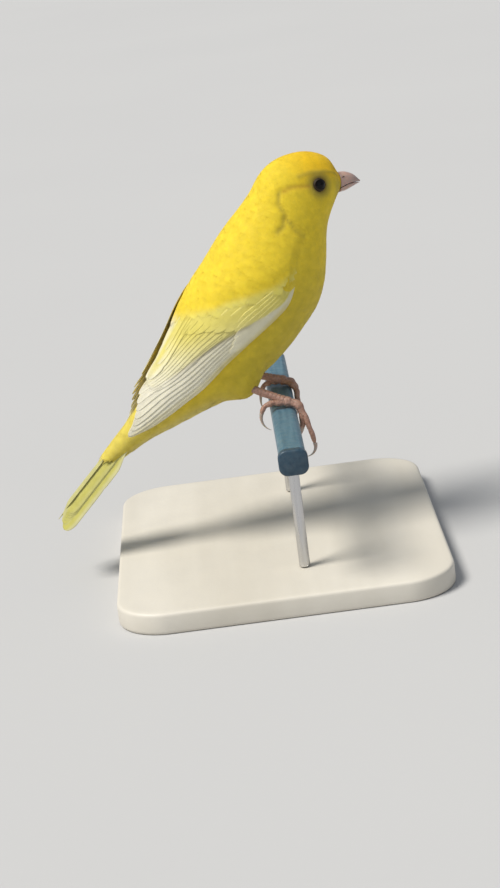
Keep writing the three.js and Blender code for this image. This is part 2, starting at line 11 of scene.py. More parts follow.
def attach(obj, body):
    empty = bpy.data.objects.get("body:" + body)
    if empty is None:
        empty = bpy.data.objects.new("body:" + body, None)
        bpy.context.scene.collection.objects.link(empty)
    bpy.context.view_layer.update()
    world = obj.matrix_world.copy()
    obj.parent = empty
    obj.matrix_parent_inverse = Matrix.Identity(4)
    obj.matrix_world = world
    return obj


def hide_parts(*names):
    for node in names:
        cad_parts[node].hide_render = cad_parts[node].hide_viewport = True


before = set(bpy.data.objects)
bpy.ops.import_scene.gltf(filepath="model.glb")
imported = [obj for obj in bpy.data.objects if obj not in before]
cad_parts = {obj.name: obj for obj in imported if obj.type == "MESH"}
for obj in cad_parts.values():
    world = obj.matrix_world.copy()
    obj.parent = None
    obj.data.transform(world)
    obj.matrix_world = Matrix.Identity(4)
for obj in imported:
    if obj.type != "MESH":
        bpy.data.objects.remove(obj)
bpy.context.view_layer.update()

MM = 0.001
SIDES = {"left": 1, "right": -1}
FULL_TURN = 2 * np.pi
STEP = 1e-3


# Small helpers

def mix(a, b, t):
    return a + (b - a) * t


def paint(colour, other, share):
    """Colours mixed with another by a share for each place."""
    return mix(colour, other, share[..., None])


def smooth(start, end, t):
    u = np.clip((t - start) / (end - start), 0.0, 1.0)
    return u * u * (3 - 2 * u)


def bump(centre, width, t):
    return np.exp(-(((t - centre) / width) ** 2))


def unit(v):
    return v / np.maximum(np.linalg.norm(v, axis=-1, keepdims=True), 1e-12)


def circle(count):
    """Angles of so many places evenly round a circle."""
    return np.arange(count) / count * FULL_TURN


def underside(angle):
    """How far round an angle lies, from 0 at the top to 1 underneath."""
    return (1 - np.cos(angle)) / 2


def from_top(angle):
    """The angle from the top, alike on either side."""
    return np.abs(np.mod(angle + np.pi, FULL_TURN) - np.pi)


def spline(values):
    """A smooth curve through values at 0, 1, 2 and so on, which runs straight on past its ends."""
    points = np.asarray(values, float)
    padded = np.concatenate([[2 * points[0] - points[1]], points, [2 * points[-1] - points[-2]]])
    last = len(points) - 1

    def at(s):
        s = np.asarray(s, float)
        i = np.clip(np.floor(s).astype(int), 0, last - 1)
        t = np.clip(s - i, 0.0, 1.0)
        beyond = s - i - t
        if points.ndim > 1:
            t, beyond = t[..., None], beyond[..., None]
        p0, p1, p2, p3 = (padded[i + k] for k in range(4))
        inside = 0.5 * (2 * p1 + (p2 - p0) * t + (2 * p0 - 5 * p1 + 4 * p2 - p3) * t**2
                        + (3 * p1 - p0 - 3 * p2 + p3) * t**3)
        return inside + beyond * (p2 - p1)

    return at


# The bird's stance

PERCH_TOP = 45.0
STANCE = np.array([0.0, 3.0, PERCH_TOP])
BODY_TURN = math.radians(5)


def turn_z(points, angle):
    c, s = np.cos(angle), np.sin(angle)
    x, y = points[..., 0], points[..., 1]
    return np.stack([x * c - y * s, x * s + y * c, points[..., 2]], -1)


def from_body(points):
    """Points of the turned body, in the row frame."""
    return turn_z(np.asarray(points, float), BODY_TURN) + STANCE


def from_perch(points):
    """Points given beside the perch's top, in the row frame."""
    return np.asarray(points, float) + STANCE


# The body's surface, from the bill's base to the tail's root

# Highest point, lowest point, half width and level of the widest place.
SECTIONS = np.array([
    [24.0, 61.1, 23.2, 54.3, 3.1, 0.50],
    [21.5, 65.4, 21.6, 51.9, 5.3, 0.48],
    [17.2, 67.6, 20.2, 49.4, 7.0, 0.48],
    [12.2, 68.1, 19.0, 46.6, 8.1, 0.47],
    [6.6, 67.0, 18.3, 43.6, 9.0, 0.47],
    [2.0, 64.0, 17.9, 40.4, 9.8, 0.48],
    [-2.8, 57.4, 17.3, 36.4, 11.2, 0.50],
    [-8.4, 50.0, 16.1, 31.0, 13.2, 0.52],
    [-13.8, 42.5, 13.4, 25.0, 14.6, 0.52],
    [-19.2, 36.1, 8.6, 19.2, 15.0, 0.52],
    [-23.7, 29.8, 2.6, 13.0, 14.6, 0.52],
    [-27.8, 23.0, -4.0, 8.0, 13.2, 0.52],
    [-32.0, 16.2, -12.0, 3.0, 11.0, 0.50],
    [-36.2, 9.8, -21.0, -0.2, 8.6, 0.50],
    [-40.4, 4.0, -30.4, -3.6, 6.3, 0.50],
    [-44.8, -0.9, -38.6, -6.6, 4.6, 0.50],
    [-49.4, -5.6, -45.2, -10.0, 3.5, 0.50],
])
LAST = len(SECTIONS) - 1
SLIMMEST = 0.8
HEAD_TURN = math.radians(12)
HEAD_AXIS = np.array([6.0, 0.0, 0.0])
NECK = (3, 8)
section_at = spline(SECTIONS)


def turned(points, s):
    """The head's own turn, fading out down the neck."""
    angle = HEAD_TURN * (1 - smooth(*NECK, s))
    return turn_z(points - HEAD_AXIS, angle) + HEAD_AXIS


def body(s, angle, lift=0.0):
    """The body at section s and an angle from the middle of the back, lifted off by so much."""
    s, angle, lift = np.broadcast_arrays(np.asarray(s, float), angle, lift)
    section = section_at(s)
    top, low, half, level = section[..., 0:2], section[..., 2:4], section[..., 4], section[..., 5]
    half = np.maximum(half, SLIMMEST)
    rise = top - low
    depth = np.linalg.norm(rise, axis=-1)
    rise = rise / depth[..., None]
    up, out = np.cos(angle), np.sin(angle)
    reach = depth * np.where(up > 0, 1 - level, level)
    normal = unit(np.stack([up / reach, out / half], -1))
    height = depth * level + up * reach + normal[..., 0] * lift
    side = out * half + normal[..., 1] * lift
    points = np.stack([low[..., 0] + rise[..., 0] * height, side, low[..., 1] + rise[..., 1] * height], -1)
    return turned(points, s)


# The feathered thighs swell the flanks where the legs come out.
THIGH_CENTRES = spline([[-8.5, 7.0, 15.5], [-9.8, 7.6, 11.0], [-11.0, 8.0, 7.0], [-11.6, 8.4, 4.6]])
THIGH_RADII = spline([5.4, 5.2, 4.4, 3.0])
THIGH_BALLS = 13
SWELL_SPAN = (8, 15)
SWELL_CELLS = (140, 180)
SWELL_SOFTENING = 30
SWELL_MOST = 4.0


def thigh_swell():
    """How far the thighs stand out of the plain body, as a smoothed table over s and angle."""
    lines = [np.linspace(*SWELL_SPAN, SWELL_CELLS[0] + 1), np.linspace(0, FULL_TURN, SWELL_CELLS[1] + 1)]
    s, angle = np.meshgrid(*lines, indexing="ij")
    at = body(s, angle)
    out = unit(body(s, angle, 1.0) - at)
    swell = np.zeros_like(s)
    for side in SIDES.values():
        for k in np.linspace(0, 3, THIGH_BALLS):
            centre = THIGH_CENTRES(k) * [1, side, 1]
            b = np.sum(out * (at - centre), -1)
            c = np.sum((at - centre) ** 2, -1) - THIGH_RADII(k) ** 2
            hit = b * b - c
            swell = np.maximum(swell, np.where(hit > 0, -b + np.sqrt(np.maximum(hit, 0)), 0))
    for _ in range(SWELL_SOFTENING):
        swell = sum((np.roll(swell, way, axis) for axis in (0, 1) for way in (1, -1)), swell) / 5
    return np.clip(swell, 0, SWELL_MOST)


SWELL = thigh_swell()


def swollen(s, angle):
    """The thighs' swell at a place, read between the table's cells."""
    (start, end), (rows, columns) = SWELL_SPAN, SWELL_CELLS
    i = np.clip((np.asarray(s) - start) / (end - start) * rows, 0, rows - 0.01)
    j = np.mod(np.asarray(angle), FULL_TURN) / FULL_TURN * (columns - 0.01)
    i0, j0 = i.astype(int), j.astype(int)
    near, far = (mix(SWELL[i0, k], SWELL[i0 + 1, k], i - i0) for k in (j0, j0 + 1))
    return mix(near, far, j - j0)


# The eyes' places

EYE = {"section": 2.7, "degrees": 78.8, "radius": 2.05, "sink": 1.2}


def eye_place(side):
    """An eye's centre under the head's surface, and the way the surface faces there."""
    step = 0.01
    angle = side * math.radians(EYE["degrees"])
    surface = body(EYE["section"], angle)
    along = body(EYE["section"] + step, angle) - surface
    around = body(EYE["section"], angle + step) - surface
    out = unit(np.cross(around, along))
    return surface - out * EYE["sink"], out


EYES = {name: eye_place(side) for name, side in SIDES.items()}


def from_eyes(points):
    """How far points lie from each eye's centre."""
    return [np.linalg.norm(points - centre, axis=-1) for centre, _ in EYES.values()]


# Where the plumage folds: lines of (section, degrees from the top) on either side of the head.
CHEEK_CREASE = [(5.1, 50), (5.42, 56), (5.58, 68), (5.95, 73), (6.25, 70)]
COLLAR_CREASE = [(5.66, 73), (5.73, 86), (5.68, 100)]
EYE_FOLD = [(4.9, 54), (4.39, 59), (4.01, 65), (3.5, 72)]
BROW_LINE = [(3.7, 54), (3.0, 57), (2.29, 62), (0.5, 66)]
# Each fold's line, height and width.
FOLDS = ((CHEEK_CREASE, -0.30, 0.7), (COLLAR_CREASE, -0.35, 0.7),
         (EYE_FOLD, -0.18, 0.6), (BROW_LINE, 0.15, 0.9))
EYE_HOLLOW = {"depth": 0.12, "span": (1.9, 3.6)}
# Millimetres to a section and to a degree on the head.
HEAD_SCALE = (4.6, 0.15)


def near_line(s, angle, line, width):
    """How near a place on the head lies to a line, from 0 to 1."""
    x, y = s * HEAD_SCALE[0], np.degrees(from_top(angle)) * HEAD_SCALE[1]
    best = np.full(np.broadcast(x, y).shape, np.inf)
    corners = [(p[0] * HEAD_SCALE[0], p[1] * HEAD_SCALE[1]) for p in line]
    for (x0, y0), (x1, y1) in zip(corners, corners[1:]):
        dx, dy = x1 - x0, y1 - y0
        t = np.clip(((x - x0) * dx + (y - y0) * dy) / (dx * dx + dy * dy), 0, 1)
        best = np.minimum(best, np.hypot(x - x0 - dx * t, y - y0 - dy * t))
    return np.exp(-((best / width) ** 2))


def relief(s, angle):
    """Shallow folds of the plumage round the cheek and the eye, and the hollow under the brow."""
    hollow = sum(1 - smooth(*EYE_HOLLOW["span"], away) for away in from_eyes(body(s, angle)))
    return sum((height * near_line(s, angle, line, width) for line, height, width in FOLDS),
               -EYE_HOLLOW["depth"] * hollow)


# Where the folded wings lie

WING_START, WING_END = 6.5, 15.35
# Degrees from the top of the leading and the inner edge, at even steps along the wing.
WING_LEAD = spline([102, 112, 110, 103, 95.5, 90, 85, 78, 71])
WING_INNER = spline([80, 42, 21, 12, 8, 7, 8, 29, 60])
WING_STEPS = 8
WING_LIFT = 0.8
WING_STAND_OFF = {"height": 1.5, "span": (0.5, 0.9), "leading": 0.45}


def wing_edges(a):
    k = np.clip(a, 0, 1) * WING_STEPS
    return np.radians(WING_LEAD(k)), np.radians(WING_INNER(k))


def wing_place(s, angle):
    """Where a place on the body lies on the wing: along it, and from its leading edge to its inner one."""
    a = (s - WING_START) / (WING_END - WING_START)
    lead, inner = wing_edges(a)
    way = from_top(angle)
    return a, (lead - way) / (lead - inner), way


def wing_lift(a, b):
    """How far the wing lies off the body, rising towards its tip and its inner edge."""
    off = WING_STAND_OFF["height"] * smooth(*WING_STAND_OFF["span"], a)
    return WING_LIFT + off * mix(WING_STAND_OFF["leading"], 1.0, np.clip(b, 0, 1))


# How far along the wing the yellow shoulder feathers reach, by place across it.
SHOULDER_REACH = ([-0.1, 0.0, 0.2, 0.35, 0.5, 0.6, 0.75, 1.0, 1.3],
                  [0.02, 0.06, 0.12, 0.20, 0.28, 0.35, 0.40, 0.46, 0.5])
# The lower edge of the secondaries' panel, across the wing by place along it.
PANEL_EDGE = ([0.0, 0.11, 0.22, 0.3, 0.42, 0.53, 0.62, 0.73, 0.78],
              [-0.05, 0.04, 0.08, 0.14, 0.26, 0.34, 0.43, 0.57, 1.3])
SHOULDER = {"lift": 1.95, "rise": (5.5, 7.9), "mantle_end": (10.6, 12.6), "edge": 0.16, "edge_drop": 0.40}
COAT_CLIMB_END = (7.3, 8.6)
UNDER_WING = {"along": (0.16, 0.88), "margin": np.radians(11), "mantle_end": 10.2}


def past_shoulder(a, b):
    """How far along the wing a place lies past the shoulder feathers' reach."""
    return a - np.interp(b, *SHOULDER_REACH)


def shoulder_rise(s, angle):
    """How far the folded wings and the mantle between them stand out of the body."""
    a, b, way = wing_place(s, angle)
    lead, inner = wing_edges(a)
    raised = smooth(*SHOULDER["rise"], s) * (1 - smooth(*np.radians((-11, 2)), way - lead))
    between = smooth(*SHOULDER["mantle_end"], s) * (1 - smooth(*np.radians((-2, 8)), way - inner))
    edge = smooth(-SHOULDER["edge"], 0.0, past_shoulder(a, b)) * (1 - smooth(0.9, 1.1, b))
    return (SHOULDER["lift"] - SHOULDER["edge_drop"] * edge) * raised * (1 - between)


def shoulder(s, angle, lift=0.0):
    """The plumage over the wings' shoulders and the mantle between them, as one surface."""
    return body(s, angle, lift + shoulder_rise(s, angle))


def coat(s, angle, lift=0.0):
    """The outside of the plumage, thighs and folds included."""
    climb = shoulder_rise(s, angle) * (1 - smooth(*COAT_CLIMB_END, s))
    return body(s, angle, lift + swollen(s, angle) + relief(s, angle) + climb)


def under_wing(s, angle):
    """True where wings or shoulder feathers cover the body."""
    a, _, way = wing_place(s, angle)
    lead, inner = wing_edges(a)
    start, end = UNDER_WING["along"]
    covered = (a > start) & (a < end) & (way < lead - UNDER_WING["margin"])
    return covered & ((way > inner + UNDER_WING["margin"]) | (s < UNDER_WING["mantle_end"]))


# Meshes

def new_object(name, form, material, slot, nodes=(), uvs=None, tint=None, normals=None):
    """An object from points in millimetres of the row frame and faces of one corner count."""
    points, faces = form
    mesh = bpy.data.meshes.new(name)
    mesh.vertices.add(len(points))
    mesh.vertices.foreach_set("co", (points * MM).ravel())
    mesh.loops.add(faces.size)
    mesh.loops.foreach_set("vertex_index", faces.ravel())
    mesh.polygons.add(len(faces))
    mesh.polygons.foreach_set("loop_start", np.arange(len(faces)) * faces.shape[1])
    mesh.update(calc_edges=True)
    mesh.polygons.foreach_set("use_smooth", np.ones(len(faces), bool))
    for layer, values in (uvs or {}).items():
        mesh.uv_layers.new(name=layer).data.foreach_set("uv", values[faces.ravel()].ravel())
    if tint is not None:
        colours = np.concatenate([tint, np.ones((len(points), 1))], 1)
        mesh.color_attributes.new("Tint", "FLOAT_COLOR", "POINT").data.foreach_set("color", colours.ravel())
    if normals is not None:
        mesh.normals_split_custom_set(normals.tolist())
    mesh.materials.append(material)
    thing = bpy.data.objects.new(name, mesh)
    bpy.context.scene.collection.objects.link(thing)
    if slot:
        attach(thing, "root")
    if nodes:
        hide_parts(*nodes)
    return thing


def outward(points, faces):
    """Faces turned so that the closed form they make holds a positive volume."""
    a, b, c = (points[faces[:, k]] for k in range(3))
    return faces if np.sum(a * np.cross(b, c)) > 0 else faces[:, ::-1]


def tube_triangles(rings, sides, closed=False):
    """Triangles of a tube whose points run ring by ring, or of one closed into a hoop."""
    i, j = np.meshgrid(np.arange(rings if closed else rings - 1), np.arange(sides), indexing="ij")
    i1, j1 = (i + 1) % rings, (j + 1) % sides
    quads = np.stack([i * sides + j, i * sides + j1, i1 * sides + j1, i1 * sides + j], -1).reshape(-1, 4)
    return np.concatenate([quads[:, [0, 1, 2]], quads[:, [0, 2, 3]]])


def loft(rings):
    """Points and triangles of a closed form through rings of points, with fans at its ends."""
    rings = np.asarray(rings, float)
    count, sides = rings.shape[:2]
    points = np.concatenate([rings.reshape(-1, 3), rings[0].mean(0)[None], rings[-1].mean(0)[None]])
    j = np.arange(sides)
    k = (j + 1) % sides
    first, far = count * sides, (count - 1) * sides
    start_fan = np.stack([np.full(sides, first), k, j], -1)
    end_fan = np.stack([np.full(sides, first + 1), far + j, far + k], -1)
    return points, outward(points, np.concatenate([tube_triangles(count, sides), start_fan, end_fan]))


def with_ends(uv):
    """A loft's uv, with those of the two points in the middle of its ends."""
    return np.concatenate([uv.reshape(-1, 2), [[0.5, 0.0], [0.5, 1.0]]])


def loft_uvs(count, sides):
    i, j = np.meshgrid(np.linspace(0, 1, count), np.linspace(0, 1, sides), indexing="ij")
    return {"UVMap": with_ends(np.stack([j, i], -1))}


def unit_ball(rings, sides, start):
    """Rings of points on a ball of radius 1 from near its top to near its bottom."""
    polar = np.linspace(start, np.pi - start, rings)[:, None]
    around = circle(sides)[None, :]
    flat, level = np.sin(polar), np.cos(polar) + 0 * around
    return np.stack([flat * np.cos(around), flat * np.sin(around), level], -1)


def joined(forms):
    """Several (points, faces) as one."""
    starts = np.cumsum([0] + [len(points) for points, _ in forms])
    return (np.concatenate([points for points, _ in forms]),
            np.concatenate([faces + start for (_, faces), start in zip(forms, starts)]))


# Materials

def feed(links, socket, value):
    """A socket fed by another socket, or set to a value."""
    if isinstance(value, bpy.types.NodeSocket):
        links.new(value, socket)
    else:
        socket.default_value = value


class Look:
    """Builds one procedural material, node by node."""

    def __init__(self, name, roughness=0.6, **sockets):
        self.material = bpy.data.materials.new(name)
        self.material.use_nodes = True
        self.nodes = self.material.node_tree.nodes
        self.links = self.material.node_tree.links
        self.shader = self.nodes["Principled BSDF"]
        self.shader.inputs["Roughness"].default_value = roughness
        for key, value in sockets.items():
            self.shader.inputs[key.replace("_", " ")].default_value = value

    def node(self, kind, inputs=None, **settings):
        made = self.nodes.new("ShaderNode" + kind)
        for key, value in settings.items():
            setattr(made, key, value)
        for key, value in (inputs or {}).items():
            feed(self.links, made.inputs[key], value)
        return made

    def noise(self, scale, detail=3, stretch=None):
        vector = self.node("TexCoord").outputs["Object"]
        if stretch:
            vector = self.node("Mapping", {"Vector": vector, "Scale": stretch}).outputs[0]
        return self.node("TexNoise", {"Vector": vector, "Scale": scale, "Detail": detail}).outputs["Fac"]

    def remap(self, value, low, high, start=0.3, end=0.7):
        """A value spread over low to high, from the range that a noise mostly keeps to."""
        spans = {"From Min": start, "From Max": end, "To Min": low, "To Max": high}
        return self.node("MapRange", {"Value": value, **spans}).outputs["Result"]

    def maths(self, operation, *values):
        return self.node("Math", dict(enumerate(values)), operation=operation).outputs[0]

    def along(self, uv_map="UVMap"):
        """The place across and along a piece, from its uv."""
        parts = self.node("SeparateXYZ", {"Vector": self.node("UVMap", uv_map=uv_map).outputs[0]})
        return parts.outputs[0], parts.outputs[1]

    def blend(self, factor, a, b, mode="MIX"):
        a, b = ((*value, 1) if isinstance(value, tuple) else value for value in (a, b))
        return self.node("Mix", {0: factor, 6: a, 7: b}, data_type="RGBA", blend_type=mode).outputs[2]

    def tinted(self, shade):
        """The piece's own tint, lighter or darker by a shade."""
        tint = self.node("Attribute", attribute_name="Tint").outputs["Color"]
        grey = self.node("CombineColor", {"Red": shade, "Green": shade, "Blue": shade}).outputs[0]
        return self.blend(1.0, tint, grey, "MULTIPLY")

    def finish(self, colour, height, strength, distance, roughness=None):
        self.links.new(colour, self.shader.inputs["Base Color"])
        made = self.node("Bump", {"Height": height, "Strength": strength, "Distance": distance})
        self.links.new(made.outputs[0], self.shader.inputs["Normal"])
        if roughness is not None:
            self.links.new(roughness, self.shader.inputs["Roughness"])
        return self.material


def feather_look(name, barbs, strength, mottle, **sockets):
    """Feathers: their own tint, fine barbs slanting off the shaft, and a faint mottle."""
    look = Look(name, **sockets)
    across, along = look.along("Vane")
    from_shaft = look.maths("ABSOLUTE", look.maths("SUBTRACT", across, 0.5))
    slant = look.maths("SUBTRACT", along, look.maths("MULTIPLY", from_shaft, 0.35))
    wobble = look.maths("MULTIPLY", look.noise(900), 0.02)
    barb = look.maths("SINE", look.maths("MULTIPLY", look.maths("ADD", slant, wobble), barbs))
    shade = look.remap(look.noise(420, 4), 1 - mottle, 1 + mottle)
    colour = look.tinted(look.maths("ADD", shade, look.maths("MULTIPLY", barb, 0.03)))
    height = look.maths("ADD", barb, look.maths("MULTIPLY", look.noise(2500, 2), 0.8))
    return look.finish(colour, height, strength, 0.00006, look.remap(look.noise(700), 0.62, 0.82))


def skin_look():
    look = Look("skin_under_feathers", 0.8, Sheen_Weight=0.2)
    shade = look.remap(look.noise(600, 4), 0.78, 1.0)
    return look.finish(look.tinted(shade), look.noise(2200, 3), 0.5, 0.0002)


PLUMAGE = feather_look("plumage", 260.0, 0.20, 0.08, Subsurface_Weight=0.12, Subsurface_Scale=0.002,
                       Subsurface_Radius=(1.0, 0.7, 0.1), Sheen_Weight=0.15, Sheen_Roughness=0.5,
                       Sheen_Tint=(1.0, 0.85, 0.35, 1.0), Specular_IOR_Level=0.25)
FLIGHT = feather_look("flight_feathers", 520.0, 0.35, 0.06, Subsurface_Weight=0.08, Subsurface_Scale=0.001,
                      Subsurface_Radius=(1.0, 0.8, 0.4), Sheen_Weight=0.10, Sheen_Roughness=0.5,
                      Specular_IOR_Level=0.35)
SKIN = skin_look()


# Markings and painted shade, as base colours by place on the body

YELLOW = np.array([0.84, 0.62, 0.030])
GOLD = np.array([0.88, 0.55, 0.010])
# Darker lemon: painted shade under the body, and the lemon rim of the wing's leading edge.
LEMON_AND_UNDER_SHADE = np.array([0.60, 0.46, 0.040])
PALE = np.array([0.62, 0.54, 0.20])
RUMP = np.array([0.64, 0.53, 0.10])
# Olive, umber and rusty brown are painted shade: round the eye, under the brow, in the face's folds and under
# the face by the bill.
OLIVE_SHADE = np.array([0.30, 0.235, 0.04])
EYE_RING_SHADE = np.array([0.17, 0.11, 0.03])
RUSTY_SHADE = np.array([0.50, 0.27, 0.03])
CREAM = np.array([0.78, 0.73, 0.52])
BEIGE = np.array([0.68, 0.64, 0.50])
# Dusky grey-brown: painted shadow lines under overlapping feather edges, and the shafts' own colour.
DUSK = np.array([0.26, 0.22, 0.13])
INNER_CREAM = np.array([0.82, 0.78, 0.60])
PANEL = np.array([0.74, 0.64, 0.14])
PANEL_FAR = np.array([0.74, 0.67, 0.28])
PANEL_EDGE_PALE = np.array([0.80, 0.74, 0.38])
TAIL_YELLOW = np.array([0.49, 0.455, 0.105])
TAIL_CREAM = np.array([0.54, 0.515, 0.30])


def painted_face_shade(s, angle, colour):
    """Painted shade on the face: dusky olive lores and brow, a dark ring round the eye, a rusty brown stripe in
    the fold behind it and olive in the soft creases.
    """
    for away in from_eyes(body(s, angle)):
        colour = paint(colour, OLIVE_SHADE, 0.75 * bump(2.6, 1.5, away))
        colour = paint(colour, EYE_RING_SHADE, 0.75 * (1 - smooth(2.2, 3.0, away)))
    colour = paint(colour, OLIVE_SHADE, 0.45 * near_line(s, angle, BROW_LINE, 0.55))
    colour = paint(colour, RUSTY_SHADE, 0.55 * near_line(s, angle, EYE_FOLD, 0.5))
    folds = np.maximum(near_line(s, angle, CHEEK_CREASE, 0.45), near_line(s, angle, COLLAR_CREASE, 0.45))
    return paint(colour, OLIVE_SHADE, 0.5 * folds)


def body_tint(s, angle):
    """Golden on the crown, clear yellow over the back, darker lemon below as painted shade, olive painted shade
    under the face by the bill, and pale round the vent.
    """
    s, angle = np.broadcast_arrays(np.asarray(s, float), np.asarray(angle, float))
    below = underside(angle)
    # Darker lemon underneath: painted shade of the underside.
    colour = paint(YELLOW, LEMON_AND_UNDER_SHADE, smooth(0.35, 0.9, below) * smooth(5, 9, s))
    colour = paint(colour, GOLD, (1 - smooth(0.2, 0.5, below)) * (1 - smooth(2.2, 4.6, s)))
    # Olive under the face by the bill: painted shade.
    colour = paint(colour, OLIVE_SHADE, 0.45 * (1 - smooth(0.3, 1.7, s)) * smooth(0.25, 0.5, below))
    colour = paint(colour, PALE, 0.7 * smooth(0.6, 0.95, below) * smooth(11.5, 13.5, s))
    colour = paint(colour, RUMP, 0.8 * smooth(12.6, 14.8, s) * (1 - smooth(0.5, 0.9, below)))
    return painted_face_shade(s, angle, colour)


def wing_tint(a, b):
    """Yellow shoulder, pale yellow panel, the cream band of the folded primaries below it, and a painted shadow
    line between panel and band.
    """
    a, b = np.broadcast_arrays(np.asarray(a, float), np.asarray(b, float))
    past, above = past_shoulder(a, b), b - np.interp(a, *PANEL_EDGE)
    colour = paint(PANEL, PANEL_FAR, smooth(0.08, 0.35, past))
    colour = paint(colour, BEIGE, smooth(0.62, 0.8, a))
    band = paint(CREAM, BEIGE, smooth(0.3, 0.8, a))
    colour = paint(colour, band, 1 - smooth(-0.01, 0.02, above))
    # A dark line along the panel's lower edge: painted shadow under the secondaries' edges.
    line = bump(0.0, 0.022, above) * smooth(0.28, 0.36, a) * (1 - smooth(0.74, 0.8, a))
    colour = paint(colour, DUSK, 0.6 * line)
    rim = (1 - smooth(0.02, 0.08, b)) * smooth(0.10, 0.25, a)
    colour = paint(colour, LEMON_AND_UNDER_SHADE, 0.6 * rim)
    inner = smooth(0.93, 1.02, b) * smooth(0.3, 0.5, a)
    colour = paint(colour, INNER_CREAM, 0.8 * inner)
    return paint(YELLOW, colour, smooth(-0.05, 0.03, past))


def shoulder_tint(s, angle):
    """The wing's markings where it lies, and the body's beside it."""
    a, b, _ = wing_place(s, angle)
    inside = smooth(-0.02, 0.05, a) * smooth(-0.10, -0.04, b)
    colour = paint(body_tint(s, angle), wing_tint(a, b), inside)
    stripe = smooth(-0.02, 0.02, b) * (1 - smooth(0.04, 0.10, b)) * smooth(0.07, 0.16, a)
    return paint(colour, CREAM, 0.85 * (stripe * (1 - smooth(0.3, 0.5, a))))


# The skin, one closed form for the head, neck, torso and thighs

SKIN_GRID = (220, 128)
SKIN_SHADE = 0.9


def coat_depth(s, angle):
    """How far the skin lies under the feathers' outside."""
    depth = mix(0.22, 0.34, smooth(1.0, 6.0, s))
    return mix(depth, 0.55, smooth(0.5, 0.9, underside(angle)) * smooth(8, 12, s))


def build_skin():
    rings, sides = SKIN_GRID
    s, angle = np.broadcast_arrays(np.linspace(0, LAST, rings)[:, None], circle(sides)[None, :])
    form = loft(from_body(coat(s, angle, -coat_depth(s, angle))))
    tint = body_tint(s, angle).reshape(-1, 3) * SKIN_SHADE
    new_object("skin", form, SKIN, "plumage", ["head", "neck", "torso", "thigh_left", "thigh_right"],
               loft_uvs(rings, sides), np.concatenate([tint, tint[:1], tint[-1:]]))


build_skin()


# Small feathers

FEATHER_ROWS = 4
BLADE, NOTCH, TIP, KEEL = range(4)
# How far each kind of point is sunk, as a share of the feather's width.
SUNK = np.array([0.0, 0.02, 0.0, 0.035])
KEEL_DEPTH = 0.03
# The feather's half width by place along it.
OUTLINE = ([0, 0.25, 0.5, 0.75, 1.0], [0.0, 0.66, 0.97, 1.0, 0.82])
TIP_ROUNDING = 0.28
TIP_NARROWING = 0.84
NORMAL_SOFTNESS = 0.92
BAKE_PATCH = 0.0015


def feather_pattern(rows, columns):
    """One feather with a point for a root and a row of barb tips: places (t, u), kinds and triangles."""
    places, kinds = [(0.0, 0.0)], [BLADE]

    def add(kind, new_places):
        """Points of one kind, and their numbers."""
        numbers = list(range(len(places), len(places) + len(new_places)))
        places.extend(new_places)
        kinds.extend([kind] * len(new_places))
        return numbers

    row = [[0]]
    for i in range(1, rows):
        row.append(add(BLADE, [(i / rows, 2 * j / columns - 1) for j in range(columns + 1)]))
    middles = [2 * (j + 0.5) / columns - 1 for j in range(columns)]
    under = add(NOTCH, [((rows - 1) / rows, u) for u in middles])
    tips = add(TIP, [(1.0, u) for u in middles])
    keel = [0] + add(KEEL, [(i / rows, 0.0) for i in range(1, rows)])
    first, end = row[1], row[-1]
    faces = [(0, first[j], first[j + 1]) for j in range(columns)]
    under_faces = [(0, first[-1], keel[1]), (0, keel[1], first[0])]
    for a, b, c, d in zip(row[1:], row[2:], keel[1:], keel[2:]):
        for j in range(columns):
            faces += [(a[j], b[j], b[j + 1]), (a[j], b[j + 1], a[j + 1])]
        under_faces += [(c, a[-1], b[-1]), (c, b[-1], d), (a[0], c, d), (a[0], d, b[0])]
    rim = [end[0]]
    for j in range(columns):
        faces += [(end[j], tips[j], end[j + 1]), (end[j + 1], tips[j], under[j]), (under[j], tips[j], end[j])]
        rim += [under[j], end[j + 1]]
    faces += [(keel[-1], later, earlier) for earlier, later in zip(rim, rim[1:])]
    return np.array(places), np.array(kinds), np.array(faces + under_faces)


def steps_for(surface, p, q, direction, length):
    """The change of p and q that moves a point of the surface by a length in a direction."""
    at = surface(p, q, 0.0)
    dp = (surface(p + STEP, q, 0.0) - at) / STEP
    dq = (surface(p, q + STEP, 0.0) - at) / STEP
    g11, g12, g22 = (np.sum(a * b, -1) for a, b in ((dp, dp), (dp, dq), (dq, dq)))
    h1, h2 = np.sum(dp * direction, -1), np.sum(dq * direction, -1)
    det = np.maximum(g11 * g22 - g12 * g12, 1e-9)
    return (g22 * h1 - g12 * h2) / det * length, (g11 * h2 - g12 * h1) / det * length


def surface_frame(surface, p, q):
    """The way along rising p, the way across it and the outward way, on the surface."""
    at = surface(p, q, 0.0)
    along = unit(surface(p + STEP, q, 0.0) - at)
    out = unit(surface(p, q, 1.0) - at)
    normal = unit(np.cross(along, unit(surface(p, q + STEP, 0.0) - at)))
    normal *= np.sign(np.sum(normal * out, -1, keepdims=True))
    return along, np.cross(normal, along), normal


def soft_normals(points, faces, surface_normals):
    """Normals for each corner, near the surface's own and on the side that its face shows."""
    a, b, d = (points[faces[:, k]] for k in range(3))
    face_normals = np.cross(b - a, d - a)
    own = np.zeros_like(points)
    for k in range(3):
        np.add.at(own, faces[:, k], face_normals)
    blended = unit(mix(unit(own), surface_normals, NORMAL_SOFTNESS))
    facing = np.where(np.sum(face_normals * blended[faces].mean(1), -1) < 0, -1.0, 1.0)
    return (blended[faces] * facing[:, None, None]).reshape(-1, 3)


